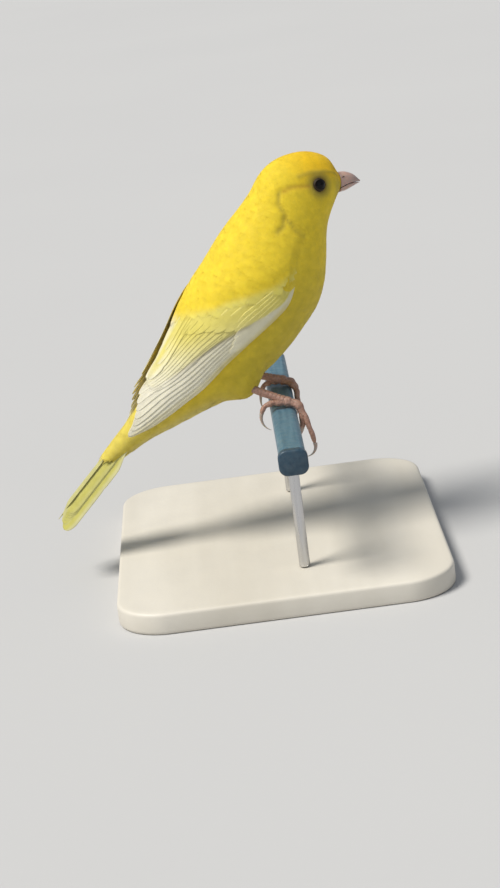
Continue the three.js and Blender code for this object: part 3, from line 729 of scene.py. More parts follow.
def grow(name, surface, p, q, sizes, tint_at, rng, columns=8):
    """Feathers rooted at (p, q) of a surface, each lying along it from under its neighbours.

    sizes holds arrays: length, width, root and tip lift, turn from the flow, and camber.
    """
    places, kinds, faces = feather_pattern(FEATHER_ROWS, columns)
    count, per = len(p), len(places)
    length, width, root, rise, turn, camber = (sizes[key][:, None]
                                               for key in ("length", "width", "root", "tip", "turn", "camber"))
    along, across, _ = surface_frame(surface, p, q)
    c, s = np.cos(turn), np.sin(turn)
    ap, aq = steps_for(surface, p, q, along * c + across * s, sizes["length"])
    bp, bq = steps_for(surface, p, q, across * c - along * s, sizes["width"] / 2)
    t, u = (np.broadcast_to(places[:, k], (count, per)).copy() for k in (0, 1))
    tip = kinds == TIP
    t[:, tip] += rng.uniform(-0.15, 0.08, (count, tip.sum())) - TIP_ROUNDING * u[:, tip] ** 2
    u[:, tip] = u[:, tip] * TIP_NARROWING + rng.uniform(-0.07, 0.07, (count, tip.sum()))
    spread = np.interp(t, *OUTLINE)
    pp = p[:, None] + ap[:, None] * t + bp[:, None] * u * spread
    qq = q[:, None] + aq[:, None] * t + bq[:, None] * u * spread
    lift = mix(root, rise, np.clip(t, 0, None) ** 0.45) + camber * (1 - u**2) * spread
    lift = lift + rng.uniform(-0.02, 0.02, (count, 1)) * t * width * u
    lift = lift - 0.025 * length * smooth(0.7, 1.05, t)
    lift = lift - SUNK[kinds] * width - np.where(kinds == KEEL, KEEL_DEPTH, 0)
    lift = lift + np.where(tip, rng.uniform(-0.02, 0.012, (count, per)), 0) * length
    points = surface(pp, qq, lift).reshape(-1, 3)
    normals = surface_frame(surface, pp, qq)[2].reshape(-1, 3)
    all_faces = outward(points, (faces[None] + (np.arange(count) * per)[:, None, None]).reshape(-1, 3))
    root_uv = np.stack([p / LAST, np.mod(q / FULL_TURN, 1.0)], -1)
    bake_uv = root_uv[:, None, :] + np.stack([u * spread, t], -1) * BAKE_PATCH
    vane_uv = np.stack([0.5 + 0.5 * u, t], -1)
    tints = tint_at(pp, qq) * rng.uniform(0.96, 1.03, (count, 1, 1))
    tints = tints * mix(0.93, 1.01, smooth(0.0, 0.8, t))[..., None]
    new_object(name, (from_body(points), all_faces), PLUMAGE, "plumage", (),
               {"OFBake": bake_uv.reshape(-1, 2), "Vane": vane_uv.reshape(-1, 2)}, tints.reshape(-1, 3),
               turn_z(soft_normals(points, all_faces, normals), BODY_TURN))


# Feather length by section, and the space between roots as a share of it
LENGTH_LINE = spline([1.2, 1.5, 1.9, 2.3, 2.9, 3.7, 4.6, 5.6, 6.4, 6.8, 7.0, 7.4, 7.8, 8.4, 9.0, 9.0, 8.0])
SPACING = 0.19
EYE_CLEAR = 2.24


def feather_length(s, angle):
    length = LENGTH_LINE(s) * mix(1.0, 1.15, smooth(0.5, 0.9, underside(angle)) * smooth(9, 12, s))
    for away in from_eyes(body(s, angle)):
        length = length * mix(0.55, 1.0, smooth(2.2, 6.0, away))
    return length


def scatter(rng, tries, low, high, keep_at):
    """Roots spread over the body at least their spacing apart, in an even, random way."""
    s = rng.uniform(low, high, tries)
    angle = rng.uniform(0, FULL_TURN, tries)
    at = body(s, angle)
    area = np.linalg.norm(np.cross(body(s + STEP, angle) - at, body(s, angle + STEP) - at), axis=-1)
    gap = feather_length(s, angle) * SPACING
    weight = area / gap**2
    keep = (rng.uniform(0, 1, tries) < weight / np.quantile(weight, 0.97)) & keep_at(s, angle)
    ends = body(s + gap / SPACING / 5, angle)
    for away, end_away in zip(from_eyes(at), from_eyes(ends)):
        keep &= np.minimum(away, end_away) > EYE_CLEAR
    s, angle, at, gap = s[keep], angle[keep], at[keep], gap[keep]
    tree = kdtree.KDTree(len(s))
    for k, point in enumerate(at):
        tree.insert(point, k)
    tree.balance()
    free = np.ones(len(s), bool)
    chosen = []
    for k in range(len(s)):
        if free[k]:
            chosen.append(k)
            for _, other, _ in tree.find_range(at[k], gap[k]):
                free[other] = False
    chosen = np.array(chosen)[np.argsort(s[chosen])]
    return s[chosen], angle[chosen]


def feather_sizes(p, q, rng, tip=0.0):
    """Sizes for feathers at their roots, fluffier underneath and behind."""
    count = len(p)
    length = feather_length(p, q) * rng.uniform(0.85, 1.15, count)
    fluff = smooth(0.6, 0.95, underside(q)) * smooth(9, 12, p)
    return {
        "length": length,
        "width": length * mix(0.56, 0.46, fluff) * rng.uniform(0.9, 1.1, count),
        "root": -coat_depth(p, q) - 0.03,
        "tip": tip + mix(-0.08, 0.08, fluff) + rng.uniform(-0.03, 0.02, count) * np.minimum(length, 5) / 3,
        "turn": rng.normal(0, 0.10, count) + fluff * rng.normal(0, 0.12, count),
        "camber": length * 0.018,
    }


# Each piece's first and last section, and the columns of its feathers.
COAT_PIECES = {"face_feathers": (0, 2.6, 4), "head_feathers": (2.6, 4.6, 8), "neck_feathers": (4.6, 8.0, 8),
               "breast_feathers": (8.0, 11.5, 8), "vent_feathers": (11.5, LAST + 1, 8)}
SHOULDER_SPAN = (6.3, 12.0)
SHOULDER_TIP_LIFT = 0.05
# A shoulder feather's reach past its root, as places along the wing to a millimetre.
REACH_PER_MM = 0.55 / 53
BRISTLES = 620


def grow_body_feathers():
    rng = np.random.default_rng(11)
    s, angle = scatter(rng, 500000, 0.12, LAST - 0.15, lambda s, angle: ~under_wing(s, angle))
    for name, (start, end, columns) in COAT_PIECES.items():
        here = (s >= start) & (s < end)
        p, q = s[here], angle[here]
        grow(name, coat, p, q, feather_sizes(p, q, rng), body_tint, rng, columns)


def grow_shoulder_feathers():
    rng = np.random.default_rng(29)

    def keep(s, angle):
        a, b, _ = wing_place(s, angle)
        short = REACH_PER_MM * feather_length(s, angle)
        return (s > SHOULDER_SPAN[0]) & (b > -0.06) & (past_shoulder(a, b) < -short)

    s, angle = scatter(rng, 200000, *SHOULDER_SPAN, keep)
    sizes = feather_sizes(s, angle, rng, SHOULDER_TIP_LIFT)
    grow("shoulder_feathers", shoulder, s, angle, sizes, shoulder_tint, rng)


def grow_bill_bristles():
    """Tiny feathers that point forward over the bill's base and the nostrils."""
    rng = np.random.default_rng(41)
    s = rng.uniform(0.0, 0.6, BRISTLES)
    angle = rng.uniform(0, FULL_TURN, BRISTLES)
    length = rng.uniform(1.3, 2.1, BRISTLES) * mix(1.15, 0.75, underside(angle))
    sizes = {"length": length, "width": length * 0.4, "root": np.full(BRISTLES, -0.35),
             "tip": rng.uniform(-0.12, 0.02, BRISTLES), "turn": np.pi + rng.normal(0, 0.25, BRISTLES),
             "camber": length * 0.02}
    grow("bill_bristles", coat, s, angle, sizes, body_tint, rng, 4)


grow_body_feathers()
grow_shoulder_feathers()
grow_bill_bristles()


# Long vanes: flight feathers, tail feathers and the larger coverts

VANE_GRID = (26, 12)
SHAFT = {"place": 0.25, "width": 0.10, "height": 0.06}
NOTCH_WIDTH = 0.012
# Cells to a side of the baking map, and the margin round a vane in its cell.
ATLAS_CELLS = 8
ATLAS_MARGIN = 0.08


def vane_forms(frame_at, half, shape, side, notches, tilt=0.2, thickness=0.12):
    """One vane: a thin closed blade with a raised shaft, as points and triangles, and its uv."""
    rows, columns = VANE_GRID
    t = 1 - (1 - np.linspace(0, 1, rows + 1)) ** 1.4
    point, across, out = (values[:, None, :] for values in frame_at(t))
    width = (half * shape(t))[:, None]
    tt, uu = np.meshgrid(t, np.linspace(-1, 1, columns + 1), indexing="ij")
    ragged = sum(depth * bump(place, NOTCH_WIDTH, tt) * (uu * edge > 0.9) for place, depth, edge in notches)
    uu_now = uu * (1 - ragged)
    raise_shaft = SHAFT["height"] * bump(SHAFT["place"] * side, SHAFT["width"], uu) * (1 - 0.7 * tt)
    curve = -0.06 * (uu_now**2) * np.minimum(width, 3)
    lean = tilt * (1 - uu * side) / 2 * np.minimum(1, width / 1.2)
    top_lift = thickness / 2 + raise_shaft + curve + lean
    low_lift = np.where(np.abs(uu) > 0.999, top_lift - 0.03, -thickness / 2 + curve + lean)
    base = point + across * (uu_now * width)[..., None]
    top, low = (base + out * lift[..., None] for lift in (top_lift, low_lift))
    uv_top = np.stack([0.5 + 0.5 * uu, tt], -1)
    return (loft(from_body(np.concatenate([top, low[:, ::-1]], 1))),
            with_ends(np.concatenate([uv_top, uv_top[:, ::-1]], 1)))


def vane_shape(root, widening, tip_start):
    """A vane's half width by place along it: narrow at the root and rounded at the tip."""
    def at(t):
        tip = np.clip((t - tip_start) / (1 - tip_start), 0, 1)
        return mix(root, 1.0, smooth(0, widening, t)) * np.sqrt(np.maximum(1 - tip**2.2, 0.004))
    return at


def atlas(uv, index):
    """A vane's own cell of the baking map."""
    cell = np.array([index % ATLAS_CELLS, index // ATLAS_CELLS])
    return (cell + ATLAS_MARGIN + (1 - 2 * ATLAS_MARGIN) * uv) / ATLAS_CELLS


def vanes_object(name, specs, node):
    """One object of many vanes, each given as its form and its tint by uv."""
    forms, uvs = zip(*[vane_forms(**vane) for vane, _ in specs])
    bake = np.concatenate([atlas(uv, index) for index, uv in enumerate(uvs)])
    tints = np.concatenate([tint(uv) for (_, tint), uv in zip(specs, uvs)])
    new_object(name, joined(forms), FLIGHT, "flight_feathers", [node],
               {"OFBake": bake, "Vane": np.concatenate(uvs)}, tints)


def notches_of(rng, start, deepest):
    """Two places where a vane's edge is nicked: place, depth and side."""
    return [(rng.uniform(start, 0.95), rng.uniform(0.05, deepest), rng.choice([-1, 1])) for _ in range(2)]


# Wings

LEFT_RAISE = 1.1
flight_shape = vane_shape(0.5, 0.35, 0.74)
PRIMARY_TIPS = [(0.975, 0.02), (1.0, 0.12), (0.99, 0.27), (0.965, 0.42), (0.935, 0.55), (0.905, 0.67),
                (0.87, 0.78), (0.835, 0.88), (0.80, 0.97)]


def steps(count, start, step):
    """Places on the wing's map at even steps."""
    return [(start[0] + step[0] * i, start[1] + step[1] * i) for i in range(count)]


# Tiers of vanes from the lowest-lying to the ones on top: primaries, secondaries, tertials, and the
# primary and greater coverts. Roots, tips, width, lift, its step, and what else differs.
WING_TIERS = (
    (steps(9, (0.14, 0.10), (0.0, 0.03)), PRIMARY_TIPS, 4.2, 0.05, 0.032,
     {"power": 3.0, "line": 0.12, "tilt": 0.08}),
    (steps(9, (0.2, 0.30), (0.0, 0.05)), steps(9, (0.755, 0.60), (-0.004, 0.05)), 4.4, 0.30, 0.022,
     {"power": 1.6, "line": 0.03, "tilt": 0.07}),
    (steps(3, (0.24, 0.78), (0.0, 0.07)), steps(3, (0.72, 0.86), (-0.06, 0.05)), 6.0, 0.50, 0.05,
     {"edge": 0.5}),
    (steps(5, (0.10, 0.05), (0.0, 0.035)), steps(5, (0.46, 0.09), (-0.03, 0.045)), 3.0, 0.36, 0.03,
     {"edge": 0.2, "dive": 1.2}),
    (steps(10, (0.09, 0.16), (0.0, 0.09)), steps(10, (0.37, 0.25), (0.02, 0.08)), 4.4, 0.50, 0.015,
     {"tilt": 0.07, "edge": 0.15, "dive": 1.5}),
)


class WingVane:
    """A vane of the folded wing, from a root to a tip given on the wing's own map.

    power bends its line, edge is the pale of its leading edge, line a painted shadow line beside that, and dive
    is how far its root lies under its neighbours.
    """

    def __init__(self, side, root, tip, width, lift, notches, shade,
                 power=1.0, edge=0.35, line=0.0, dive=0.6, **more):
        self.side, self.root, self.tip, self.lift, self.power, self.dive = side, root, tip, lift, power, dive
        self.half, self.shade, self.edge, self.line = width / 2, shade, edge, line
        self.form = {"frame_at": self.frame, "half": self.half, "shape": flight_shape, "side": side,
                     "notches": notches, **more}

    def at(self, a, b, lift):
        """A point over the wing's own surface."""
        a, b, lift = np.broadcast_arrays(np.asarray(a, float), b, lift)
        lead, inner = wing_edges(a)
        rise = LEFT_RAISE * smooth(0.2, 0.5, a) * smooth(0.4, 1, b) * (self.side > 0)
        s = mix(WING_START, WING_END, a)
        return body(s, self.side * mix(lead, inner, b), wing_lift(a, b) + rise + lift)

    def map(self, t):
        t = np.clip(t, 0, 1)
        return mix(self.root[0], self.tip[0], t), mix(self.root[1], self.tip[1], t**self.power)

    def frame(self, t):
        lift = self.lift - self.dive * (1 - smooth(0.0, 0.3, t))
        point = self.at(*self.map(t), lift)
        along = unit(self.at(*self.map(t + 0.02), lift) - self.at(*self.map(t - 0.02), lift))
        out = unit(self.at(*self.map(t), lift + 1.0) - point)
        return point, unit(np.cross(along, out)), out

    def tint(self, uv):
        u, t = uv[:, 0] * 2 - 1, uv[:, 1]
        a, b = self.map(t)
        point, across, _ = self.frame(t)
        step = (self.at(a, b + 0.01, self.lift) - point) / 0.01
        per_b = np.linalg.norm(step, axis=-1) * np.sign(np.sum(step * across, -1))
        colour = wing_tint(a, b + u * self.half * flight_shape(t) / per_b)
        leading = -u * self.side
        colour = paint(colour, INNER_CREAM, 0.7 * smooth(-0.1, -0.7, leading) * smooth(0.45, 0.7, a))
        colour = paint(colour, PANEL_EDGE_PALE, self.edge * smooth(0.6, 0.95, leading))
        # A dark line beside the pale edge: painted shadow of the next feather's overlap.
        colour = paint(colour, DUSK, self.line * bump(0.68, 0.10, leading))
        colour = paint(colour, DUSK, 0.16 * bump(-0.25, 0.05, leading))
        return colour * self.shade


def wing_specs(side):
    rng = np.random.default_rng(5)
    specs = []
    for roots, tips, width, lift, lift_step, more in WING_TIERS:
        for i, (root, tip) in enumerate(zip(roots, tips)):
            tip = (tip[0] + rng.uniform(-0.004, 0.004), tip[1])
            notches = notches_of(rng, 0.5, 0.14)
            shade = rng.uniform(0.96, 1.03)
            vane = WingVane(side, root, tip, width, lift + lift_step * i, notches, shade, **more)
            specs.append((vane.form, vane.tint))
    return specs


for side_name, side_sign in SIDES.items():
    vanes_object(f"wing_vanes_{side_name}", wing_specs(side_sign), f"wing_{side_name}")


# Tail

TAIL = {"length": 30.0, "fork": 4.2, "fall": 0.07, "overlap": 0.15, "half": 2.5,
        "offsets": [1.5, 1.65, 1.85, 2.1, 2.7, 4.1], "root_step": 0.3, "spread_end": 0.25,
        "roof": math.radians(26), "roll": math.radians(-14),
        "direction": np.array([-0.713, 0.0, -0.701]), "root": np.array([-47.6, 0.0, -5.6])}
tail_shape = vane_shape(0.62, 0.25, 0.86)


def about(axis, v, angle):
    """A vector turned about an axis."""
    c, s = math.cos(angle), math.sin(angle)
    return v * c + np.cross(axis, v) * s + axis * np.dot(axis, v) * (1 - c)


def tail_tint(uv, side, outer):
    """Pale yellow with a cream outer web, cream all over towards the outermost, and a faint shaft."""
    u = (uv[:, 0] - 0.5) * 2 * side
    colour = paint(TAIL_YELLOW, TAIL_CREAM, (0.25 + 0.55 * outer) * smooth(0.3, 0.9, u))
    colour = paint(colour, TAIL_CREAM, 0.5 * smooth(0.2, -0.9, u) * (1 - outer))
    return paint(colour, DUSK, 0.10 * bump(0.25, 0.05, u))


def tail_specs():
    """Twelve vanes, on each side from the outermost and lowest to the middle one on top."""
    along = unit(TAIL["direction"])
    out = about(along, np.array([along[2], 0.0, -along[0]]), TAIL["roll"])
    across = unit(np.cross(along, out))
    rng = np.random.default_rng(3)
    offsets = TAIL["offsets"]
    outermost = len(offsets) - 1
    specs = []
    for side in (-1, 1):
        sideways = across * side * math.cos(TAIL["roof"]) - out * math.sin(TAIL["roof"])
        level = sideways * side
        lean = unit(np.cross(level, along))
        for i in range(outermost, -1, -1):
            length = TAIL["length"] - TAIL["fork"] * (1 - (i / outermost) ** 1.3)
            drop = TAIL["fall"] * i + (TAIL["overlap"] if side > 0 else 0)

            def frame_at(t, i=i, sideways=sideways, level=level, lean=lean, length=length, drop=drop):
                t = t[:, None]
                opened = smooth(0, TAIL["spread_end"], t)
                spread = mix(TAIL["root_step"] * i, offsets[i] - offsets[0], opened) + offsets[0]
                point = TAIL["root"] + along * length * t + sideways * spread - lean * drop
                return point, np.broadcast_to(level, point.shape), np.broadcast_to(lean, point.shape)

            form = {"frame_at": frame_at, "half": TAIL["half"], "shape": tail_shape, "side": side,
                    "notches": notches_of(rng, 0.4, 0.12), "tilt": 0.04, "thickness": 0.10}
            outer = smooth(3, 5, i)
            specs.append((form, lambda uv, side=side, outer=outer: tail_tint(uv, side, outer)))
    return specs


vanes_object("tail_vanes", tail_specs(), "tail")


# Eyes, lids and bill

def eye_look():
    look = Look("eye", 0.05, Specular_IOR_Level=0.3, IOR=1.38)
    ring = look.remap(look.along()[1], 0.0, 1.0, 0.24, 0.30)
    iris = look.blend(look.noise(2500, 3), (0.016, 0.006, 0.003), (0.05, 0.018, 0.008))
    return look.finish(look.blend(ring, (0.002, 0.0015, 0.0015), iris), look.noise(900, 2), 0.02, 0.0001)


def lid_look():
    look = Look("eyelid", 0.6, Specular_IOR_Level=0.25)
    # Near black lids: painted shade round the eye.
    colour = look.blend(look.noise(1500, 4), (0.014, 0.009, 0.006), (0.05, 0.034, 0.018))
    return look.finish(colour, look.noise(6000, 3), 0.6, 0.0001)


EYE_LOOK, LID_LOOK = eye_look(), lid_look()
EYE_GRID = (40, 48)
LID = {"around": 96, "across": 9, "opening": 1.50, "longer": 0.14, "outer": 2.03, "folds": 23,
       "clear": 0.06, "edge": 0.08, "under": 0.12}


def build_eye(name):
    centre, out = EYES[name]
    first = unit(np.cross([0, 0, 1.0], out))
    basis = np.stack([first, np.cross(out, first), out])
    form = loft(from_body(centre + (unit_ball(*EYE_GRID, 0.02) * EYE["radius"]) @ basis))
    new_object(f"eyeball_{name}", form, EYE_LOOK, "eye", [f"eye_{name}"], loft_uvs(*EYE_GRID))
    build_lids(name, centre, basis)


def build_lids(name, centre, basis):
    """Thin lids hugging the eyeball, near black as painted shade round the eye, their opening longer than high,
    with bead-like folds.
    """
    around, across = LID["around"], LID["across"]
    at = circle(around)[:, None]
    share = np.linspace(0, 1, across)[None, :]
    beads = np.sin(at * LID["folds"])
    opening = LID["opening"] + LID["longer"] * np.cos(2 * at) + 0.008 * beads * (1 - share)
    radius = mix(opening, LID["outer"], share)
    ball = np.sqrt(EYE["radius"] ** 2 - radius**2)
    folds = 0.025 * beads * np.sin(np.pi * share) + 0.03 * np.sin(share * 9)
    top = ball + LID["clear"] + LID["edge"] * np.sin(np.pi * np.clip(share * 3, 0, 1)) + folds
    radius = np.concatenate([radius, radius[:, ::-1]], 1)
    high = np.concatenate([top, ball[:, ::-1] - LID["under"]], 1)
    points = centre + np.stack([radius * np.cos(at), radius * np.sin(at), high], -1).reshape(-1, 3) @ basis
    faces = outward(points - centre, tube_triangles(around, 2 * across, closed=True))
    new_object(f"lids_{name}", (from_body(points), faces), LID_LOOK, "plumage")


for side_name in SIDES:
    build_eye(side_name)

BILL = {
    "culmen": [[24.6, 60.5], [26.6, 60.3], [28.9, 59.2], [30.9, 57.1]],
    "mouth": [[24.1, 56.5], [26.4, 57.0], [28.7, 57.15], [30.7, 56.7]],
    "gonys": [[23.9, 54.9], [26.0, 55.1], [28.2, 55.8], [30.3, 56.5]],
    "half": [2.75, 2.3, 1.5, 0.22],
    "rings": 40, "arc": 36, "floor": 7, "opening": 0.13, "floor_rise": 0.12,
}
NOSTRIL = {"place": np.array([25.3, 2.02, 59.25]), "size": np.array([0.40, 0.14, 0.15]), "slope": 0.25}


def horn_look(name, base, tip, start, end, scale=900):
    """Smooth horn that changes from one colour to another along its length."""
    look = Look(name, 0.35, Subsurface_Weight=0.2, Subsurface_Scale=0.001, Coat_Weight=0.15, Coat_Roughness=0.3)
    centred = look.maths("SUBTRACT", look.noise(scale), 0.5)
    wobble = look.maths("ADD", look.along()[1], look.maths("MULTIPLY", centred, 0.3))
    colour = look.blend(look.remap(wobble, 0.0, 1.0, start, end), base, tip)
    streaks = look.noise(700, 4, (0.3, 3, 3))
    colour = look.blend(look.remap(streaks, 0.0, 0.35), colour, tuple(c * 0.6 for c in base))
    return look.finish(colour, streaks, 0.12, 0.0001, look.remap(look.noise(1500), 0.28, 0.45))


HORN = horn_look("bill_horn", (0.50, 0.33, 0.27), (0.34, 0.26, 0.25), 0.35, 0.95)


def mandible(name, outline, upward, node):
    """One half of the bill: a vault from the mouth's line to its outline, over a low rounded floor."""
    edge, mouth, half = (spline(BILL[key]) for key in (outline, "mouth", "half"))
    rings, arc, floor_count = BILL["rings"], BILL["arc"], BILL["floor"]
    t = np.linspace(0, 3, rings)
    angle = np.linspace(0, np.pi, arc)
    inner = (mouth(t) + np.array([0.0, upward * BILL["opening"]]))[:, None, :]
    depth = edge(t)[:, None, :] - inner
    level = np.linspace(-1, 1, floor_count + 2)[1:-1]
    share = np.concatenate([np.sin(angle), BILL["floor_rise"] * (1 - level**2)])
    flat = inner + depth * share[None, :, None]
    side = half(t)[:, None] * np.concatenate([np.cos(angle), level])[None, :]
    points = turned(np.stack([flat[..., 0], side, flat[..., 1]], -1), np.zeros(side.shape))
    new_object(name, loft(from_body(points)), HORN, "bill", [node], loft_uvs(rings, arc + floor_count))


def build_nostrils():
    """A narrow slit on each side of the upper bill, half under the bristles: a dark lump painted as the shade
    inside the opening.
    """
    look = Look("nostril", 0.7)
    # Near black: painted shade inside the nostril.
    colour = look.blend(look.noise(3000), (0.03, 0.018, 0.014), (0.07, 0.04, 0.03))
    dark = look.finish(colour, look.noise(5000), 0.3, 0.00005)
    forms = []
    for side in SIDES.values():
        at = unit_ball(14, 20, 0.05)[..., [0, 2, 1]] * NOSTRIL["size"]
        at[..., 2] += NOSTRIL["slope"] * at[..., 0]
        at = at + NOSTRIL["place"] * [1, side, 1]
        forms.append(loft(from_body(turned(at, np.zeros(at.shape[:2])))))
    new_object("nostrils", joined(forms), dark, "bill")


mandible("bill_horn_upper", "culmen", 1, "bill_upper")
build_nostrils()
mandible("bill_horn_lower", "gonys", -1, "bill_lower")


# Legs, toes and claws

PERCH = {"width": 7.2, "height": 6.4, "corner": 2.0, "length": 106.0}
GAP = 0.3
TARSUS = {"radius": 1.08, "heel": [-15.0, 8.6], "heel_half_span": 7.4, "flare": 0.25, "plates": 16}
TOE = {"radius": 0.9, "tip": 0.62, "hub": 1.45, "drop": 0.45, "plates": 13, "rounded_from": 0.93}
CLAW = {"root": 0.92, "tip": 0.07, "overlap": 0.35}
# Rings and sides of each tube.
TARSUS_GRID, TOE_GRID, CLAW_GRID, HUB_GRID = (130, 28), (110, 28), (40, 16), (20, 28)
STEPS = 6
FEET = {
    "right": {"at": (1.4, -14.0), "toes": {
        "hind": {"reach": -9.4, "splay": 0.4, "stand_off": 1.7, "claw": 6.3, "hook": 1.6},
        "inner": {"reach": 8.6, "splay": -4.4, "stand_off": 0.0, "claw": 4.4, "hook": 0.55},
        "middle": {"path": [[1.4, -14, 1.75], [4.1, -14.8, 1.2], [5.4, -15.9, -1.8], [6.5, -17.2, -5.6],
                            [7.5, -18.5, -10.2]], "claw": 5.4, "hook": 1.9},
        "outer": {"reach": 9.2, "splay": 2.2, "stand_off": 0.0, "claw": 4.4, "hook": 0.55}}},
    "left": {"at": (1.2, 9.8), "toes": {
        "hind": {"reach": -7.8, "splay": 0.5, "stand_off": 0.6, "claw": 6.2, "hook": 0.8},
        "inner": {"reach": 8.6, "splay": -4.0, "stand_off": 0.0, "claw": 4.4, "hook": 0.55},
        "middle": {"reach": 10.2, "splay": -0.4, "stand_off": 0.0, "claw": 4.8, "hook": 0.55},
        "outer": {"reach": 8.8, "splay": 3.6, "stand_off": 0.0, "claw": 4.4, "hook": 0.55}}},
}


def around_perch(arc, height):
    """A point beside the perch's section, arc millimetres round from the middle of its top."""
    corner = PERCH["corner"]
    radius = corner + height
    flat = PERCH["width"] / 2 - corner
    quarter = radius * math.pi / 2
    wall = PERCH["height"] - 2 * corner
    way = math.copysign(1, arc)
    rest = abs(arc)
    if rest < flat:
        return way * rest, height
    rest -= flat
    if rest < quarter:
        turn = rest / radius
        return way * (flat + radius * math.sin(turn)), -corner + radius * math.cos(turn)
    rest -= quarter
    if rest < wall:
        return way * (flat + radius), -corner - rest
    turn = min(1.2, (rest - wall) / radius)
    return way * (flat + radius * math.cos(turn)), -PERCH["height"] + corner - radius * math.sin(turn)


def toe_line(toe, at, side):
    """A toe's middle line, from the hub round the perch, or along its own path."""
    if "path" in toe:
        return spline(toe["path"])(np.linspace(0, len(toe["path"]) - 1, STEPS + 1))
    points = []
    for t in np.linspace(0, 1, STEPS + 1):
        lift = GAP + TOE["radius"] + TOE["drop"] * (1 - t) ** 3 + toe["stand_off"] * smooth(0, 0.9, t)
        x, z = around_perch(at[0] + toe["reach"] * t, lift)
        points.append([x, at[1] + side * toe["splay"] * smooth(-0.4, 1, t), z])
    return np.array(points)


def claw_line(toe, line):
    """A claw's middle line, curling in towards the perch."""
    end = line[-1]
    along = unit(end - line[-2])
    inward = np.array([0, end[1], -PERCH["height"] / 2]) - end
    inward = unit(inward - along * np.dot(inward, along))
    points = [end - along * CLAW["overlap"]]
    for i in range(STEPS):
        turn = toe["hook"] * (i + 0.5) / STEPS
        points.append(points[-1] + (along * math.cos(turn) + inward * math.sin(turn)) * toe["claw"] / STEPS)
    return np.array(points)


def tube(line, radius_at, grid, flatten=1.0):
    """A tube along a line; radius_at takes the place along and the angle round from the line's back."""
    rings, sides = grid
    count = len(line) - 1
    at = spline(line)
    k = np.linspace(0, count, rings)
    along = unit(at(k + 0.02) - at(k - 0.02))
    first = unit(np.array([0, 1.0, 0]) - along * along[:, 1:2])
    second = np.cross(along, first)
    angle = circle(sides)
    radius = radius_at((k / count)[:, None], angle[None, :])
    points = (at(k)[:, None, :] + (radius * np.cos(angle))[..., None] * first[:, None, :] * flatten
              + (radius * np.sin(angle))[..., None] * second[:, None, :])
    return loft(from_perch(points))


def scaly(radius_at, plates, back, joints=()):
    """Overlapping scale plates over one side of a tube, knobs at the joints and soft pads on the other."""
    def at(t, angle):
        upper = smooth(-0.1, 0.5, back * np.sin(angle))
        saw = np.mod(t * plates, 1.0)
        plate = 0.10 * saw**0.7 - 0.10 * bump(0.0, 0.07, saw) - 0.10 * bump(1.0, 0.07, saw)
        knob = sum(0.14 * bump(place, 0.06, t) for place in joints)
        pads = 0.16 * np.cos(t * FULL_TURN * 3.5) * (1 - upper) * (1 if joints else 0.2)
        return radius_at(t) * (1 + plate * upper + pads + knob)
    return at


def leg_look():
    look = Look("leg_skin", 0.5, Subsurface_Weight=0.15, Subsurface_Scale=0.001,
                Subsurface_Radius=(1.0, 0.4, 0.3))
    broad = look.blend(look.noise(300, 3), (0.36, 0.18, 0.11), (0.48, 0.30, 0.25))
    colour = look.blend(look.remap(look.noise(1800, 4), 0.0, 0.6), broad, (0.15, 0.08, 0.05))
    return look.finish(colour, look.noise(4000, 4), 0.4, 0.0001, look.remap(look.noise(900), 0.4, 0.62))


LEG = leg_look()
CLAW_HORN = horn_look("claw_horn", (0.42, 0.32, 0.26), (0.50, 0.45, 0.38), 0.2, 0.8, 1400)


def toe_radius(t):
    start = TOE["rounded_from"]
    return mix(TOE["radius"], TOE["tip"], t) * np.where(t > start, 1 - 0.5 * smooth(start, 1.0, t), 1)


def claw_radius(t, angle):
    return mix(TOE["tip"] * CLAW["root"], CLAW["tip"], t**0.8) * (1 + 0.12 * np.sin(angle) ** 2)


def tarsus_radius(t):
    return TARSUS["radius"] * (1 + TARSUS["flare"] * (2 * t - 1) ** 4)


def build_leg(name, side):
    at, toes = FEET[name]["at"], FEET[name]["toes"]
    hub = np.array([*at, GAP + TOE["hub"]])
    forms = []
    for key, toe in toes.items():
        line = toe_line(toe, at, side)
        joints = (0.35, 0.68) if key != "hind" else (0.5,)
        forms.append(tube(line, scaly(toe_radius, TOE["plates"], -1, joints), TOE_GRID))
        nail = tube(claw_line(toe, line), claw_radius, CLAW_GRID, 0.8)
        new_object(f"nail_{name}_{key}", nail, CLAW_HORN, "claw", [f"claw_{name}_{key}"], loft_uvs(*CLAW_GRID))
    ball = unit_ball(*HUB_GRID, 0.05)
    flat = np.linalg.norm(ball[..., :2], axis=-1)
    swell = TOE["hub"] * (1 + 0.03 * np.sin(circle(HUB_GRID[1]) * 5) * flat)
    forms.append(loft(from_perch(hub + ball * swell[..., None])))
    new_object(f"toes_{name}", joined(forms), LEG, "leg_skin", [f"foot_{name}"])
    heel = turn_z(np.array([TARSUS["heel"][0], side * TARSUS["heel_half_span"], TARSUS["heel"][1]]), BODY_TURN)
    shank = heel + (hub - heel) * np.linspace(0, 1, STEPS)[:, None]
    form = tube(shank, scaly(tarsus_radius, TARSUS["plates"], 1), TARSUS_GRID)
    new_object(f"shank_{name}", form, LEG, "leg_skin", [f"leg_{name}"])


for side_name, side_sign in SIDES.items():
    build_leg(side_name, side_sign)


# Perch and stand

CAP = {"long": 2.6, "gap": 0.3, "wider": 0.7}
BASE = {"width": 92.0, "depth": 112.0, "height": 6.0, "corner": 14.0, "centre_x": -6.0}
# How far the plate's edge stands out, and its height.
BASE_PROFILE = [(-1.0, 0.0), (-0.4, 0.12), (-0.1, 0.4), (0.0, 1.0), (0.0, 5.0), (-0.1, 5.5), (-0.4, 5.88),
                (-1.0, 6.0), (-3.0, 6.0)]
ROD = {"radius": 1.5, "bevel": 0.2, "sides": 32, "levels": 24, "places": {"front": -34.0, "back": 34.0}}


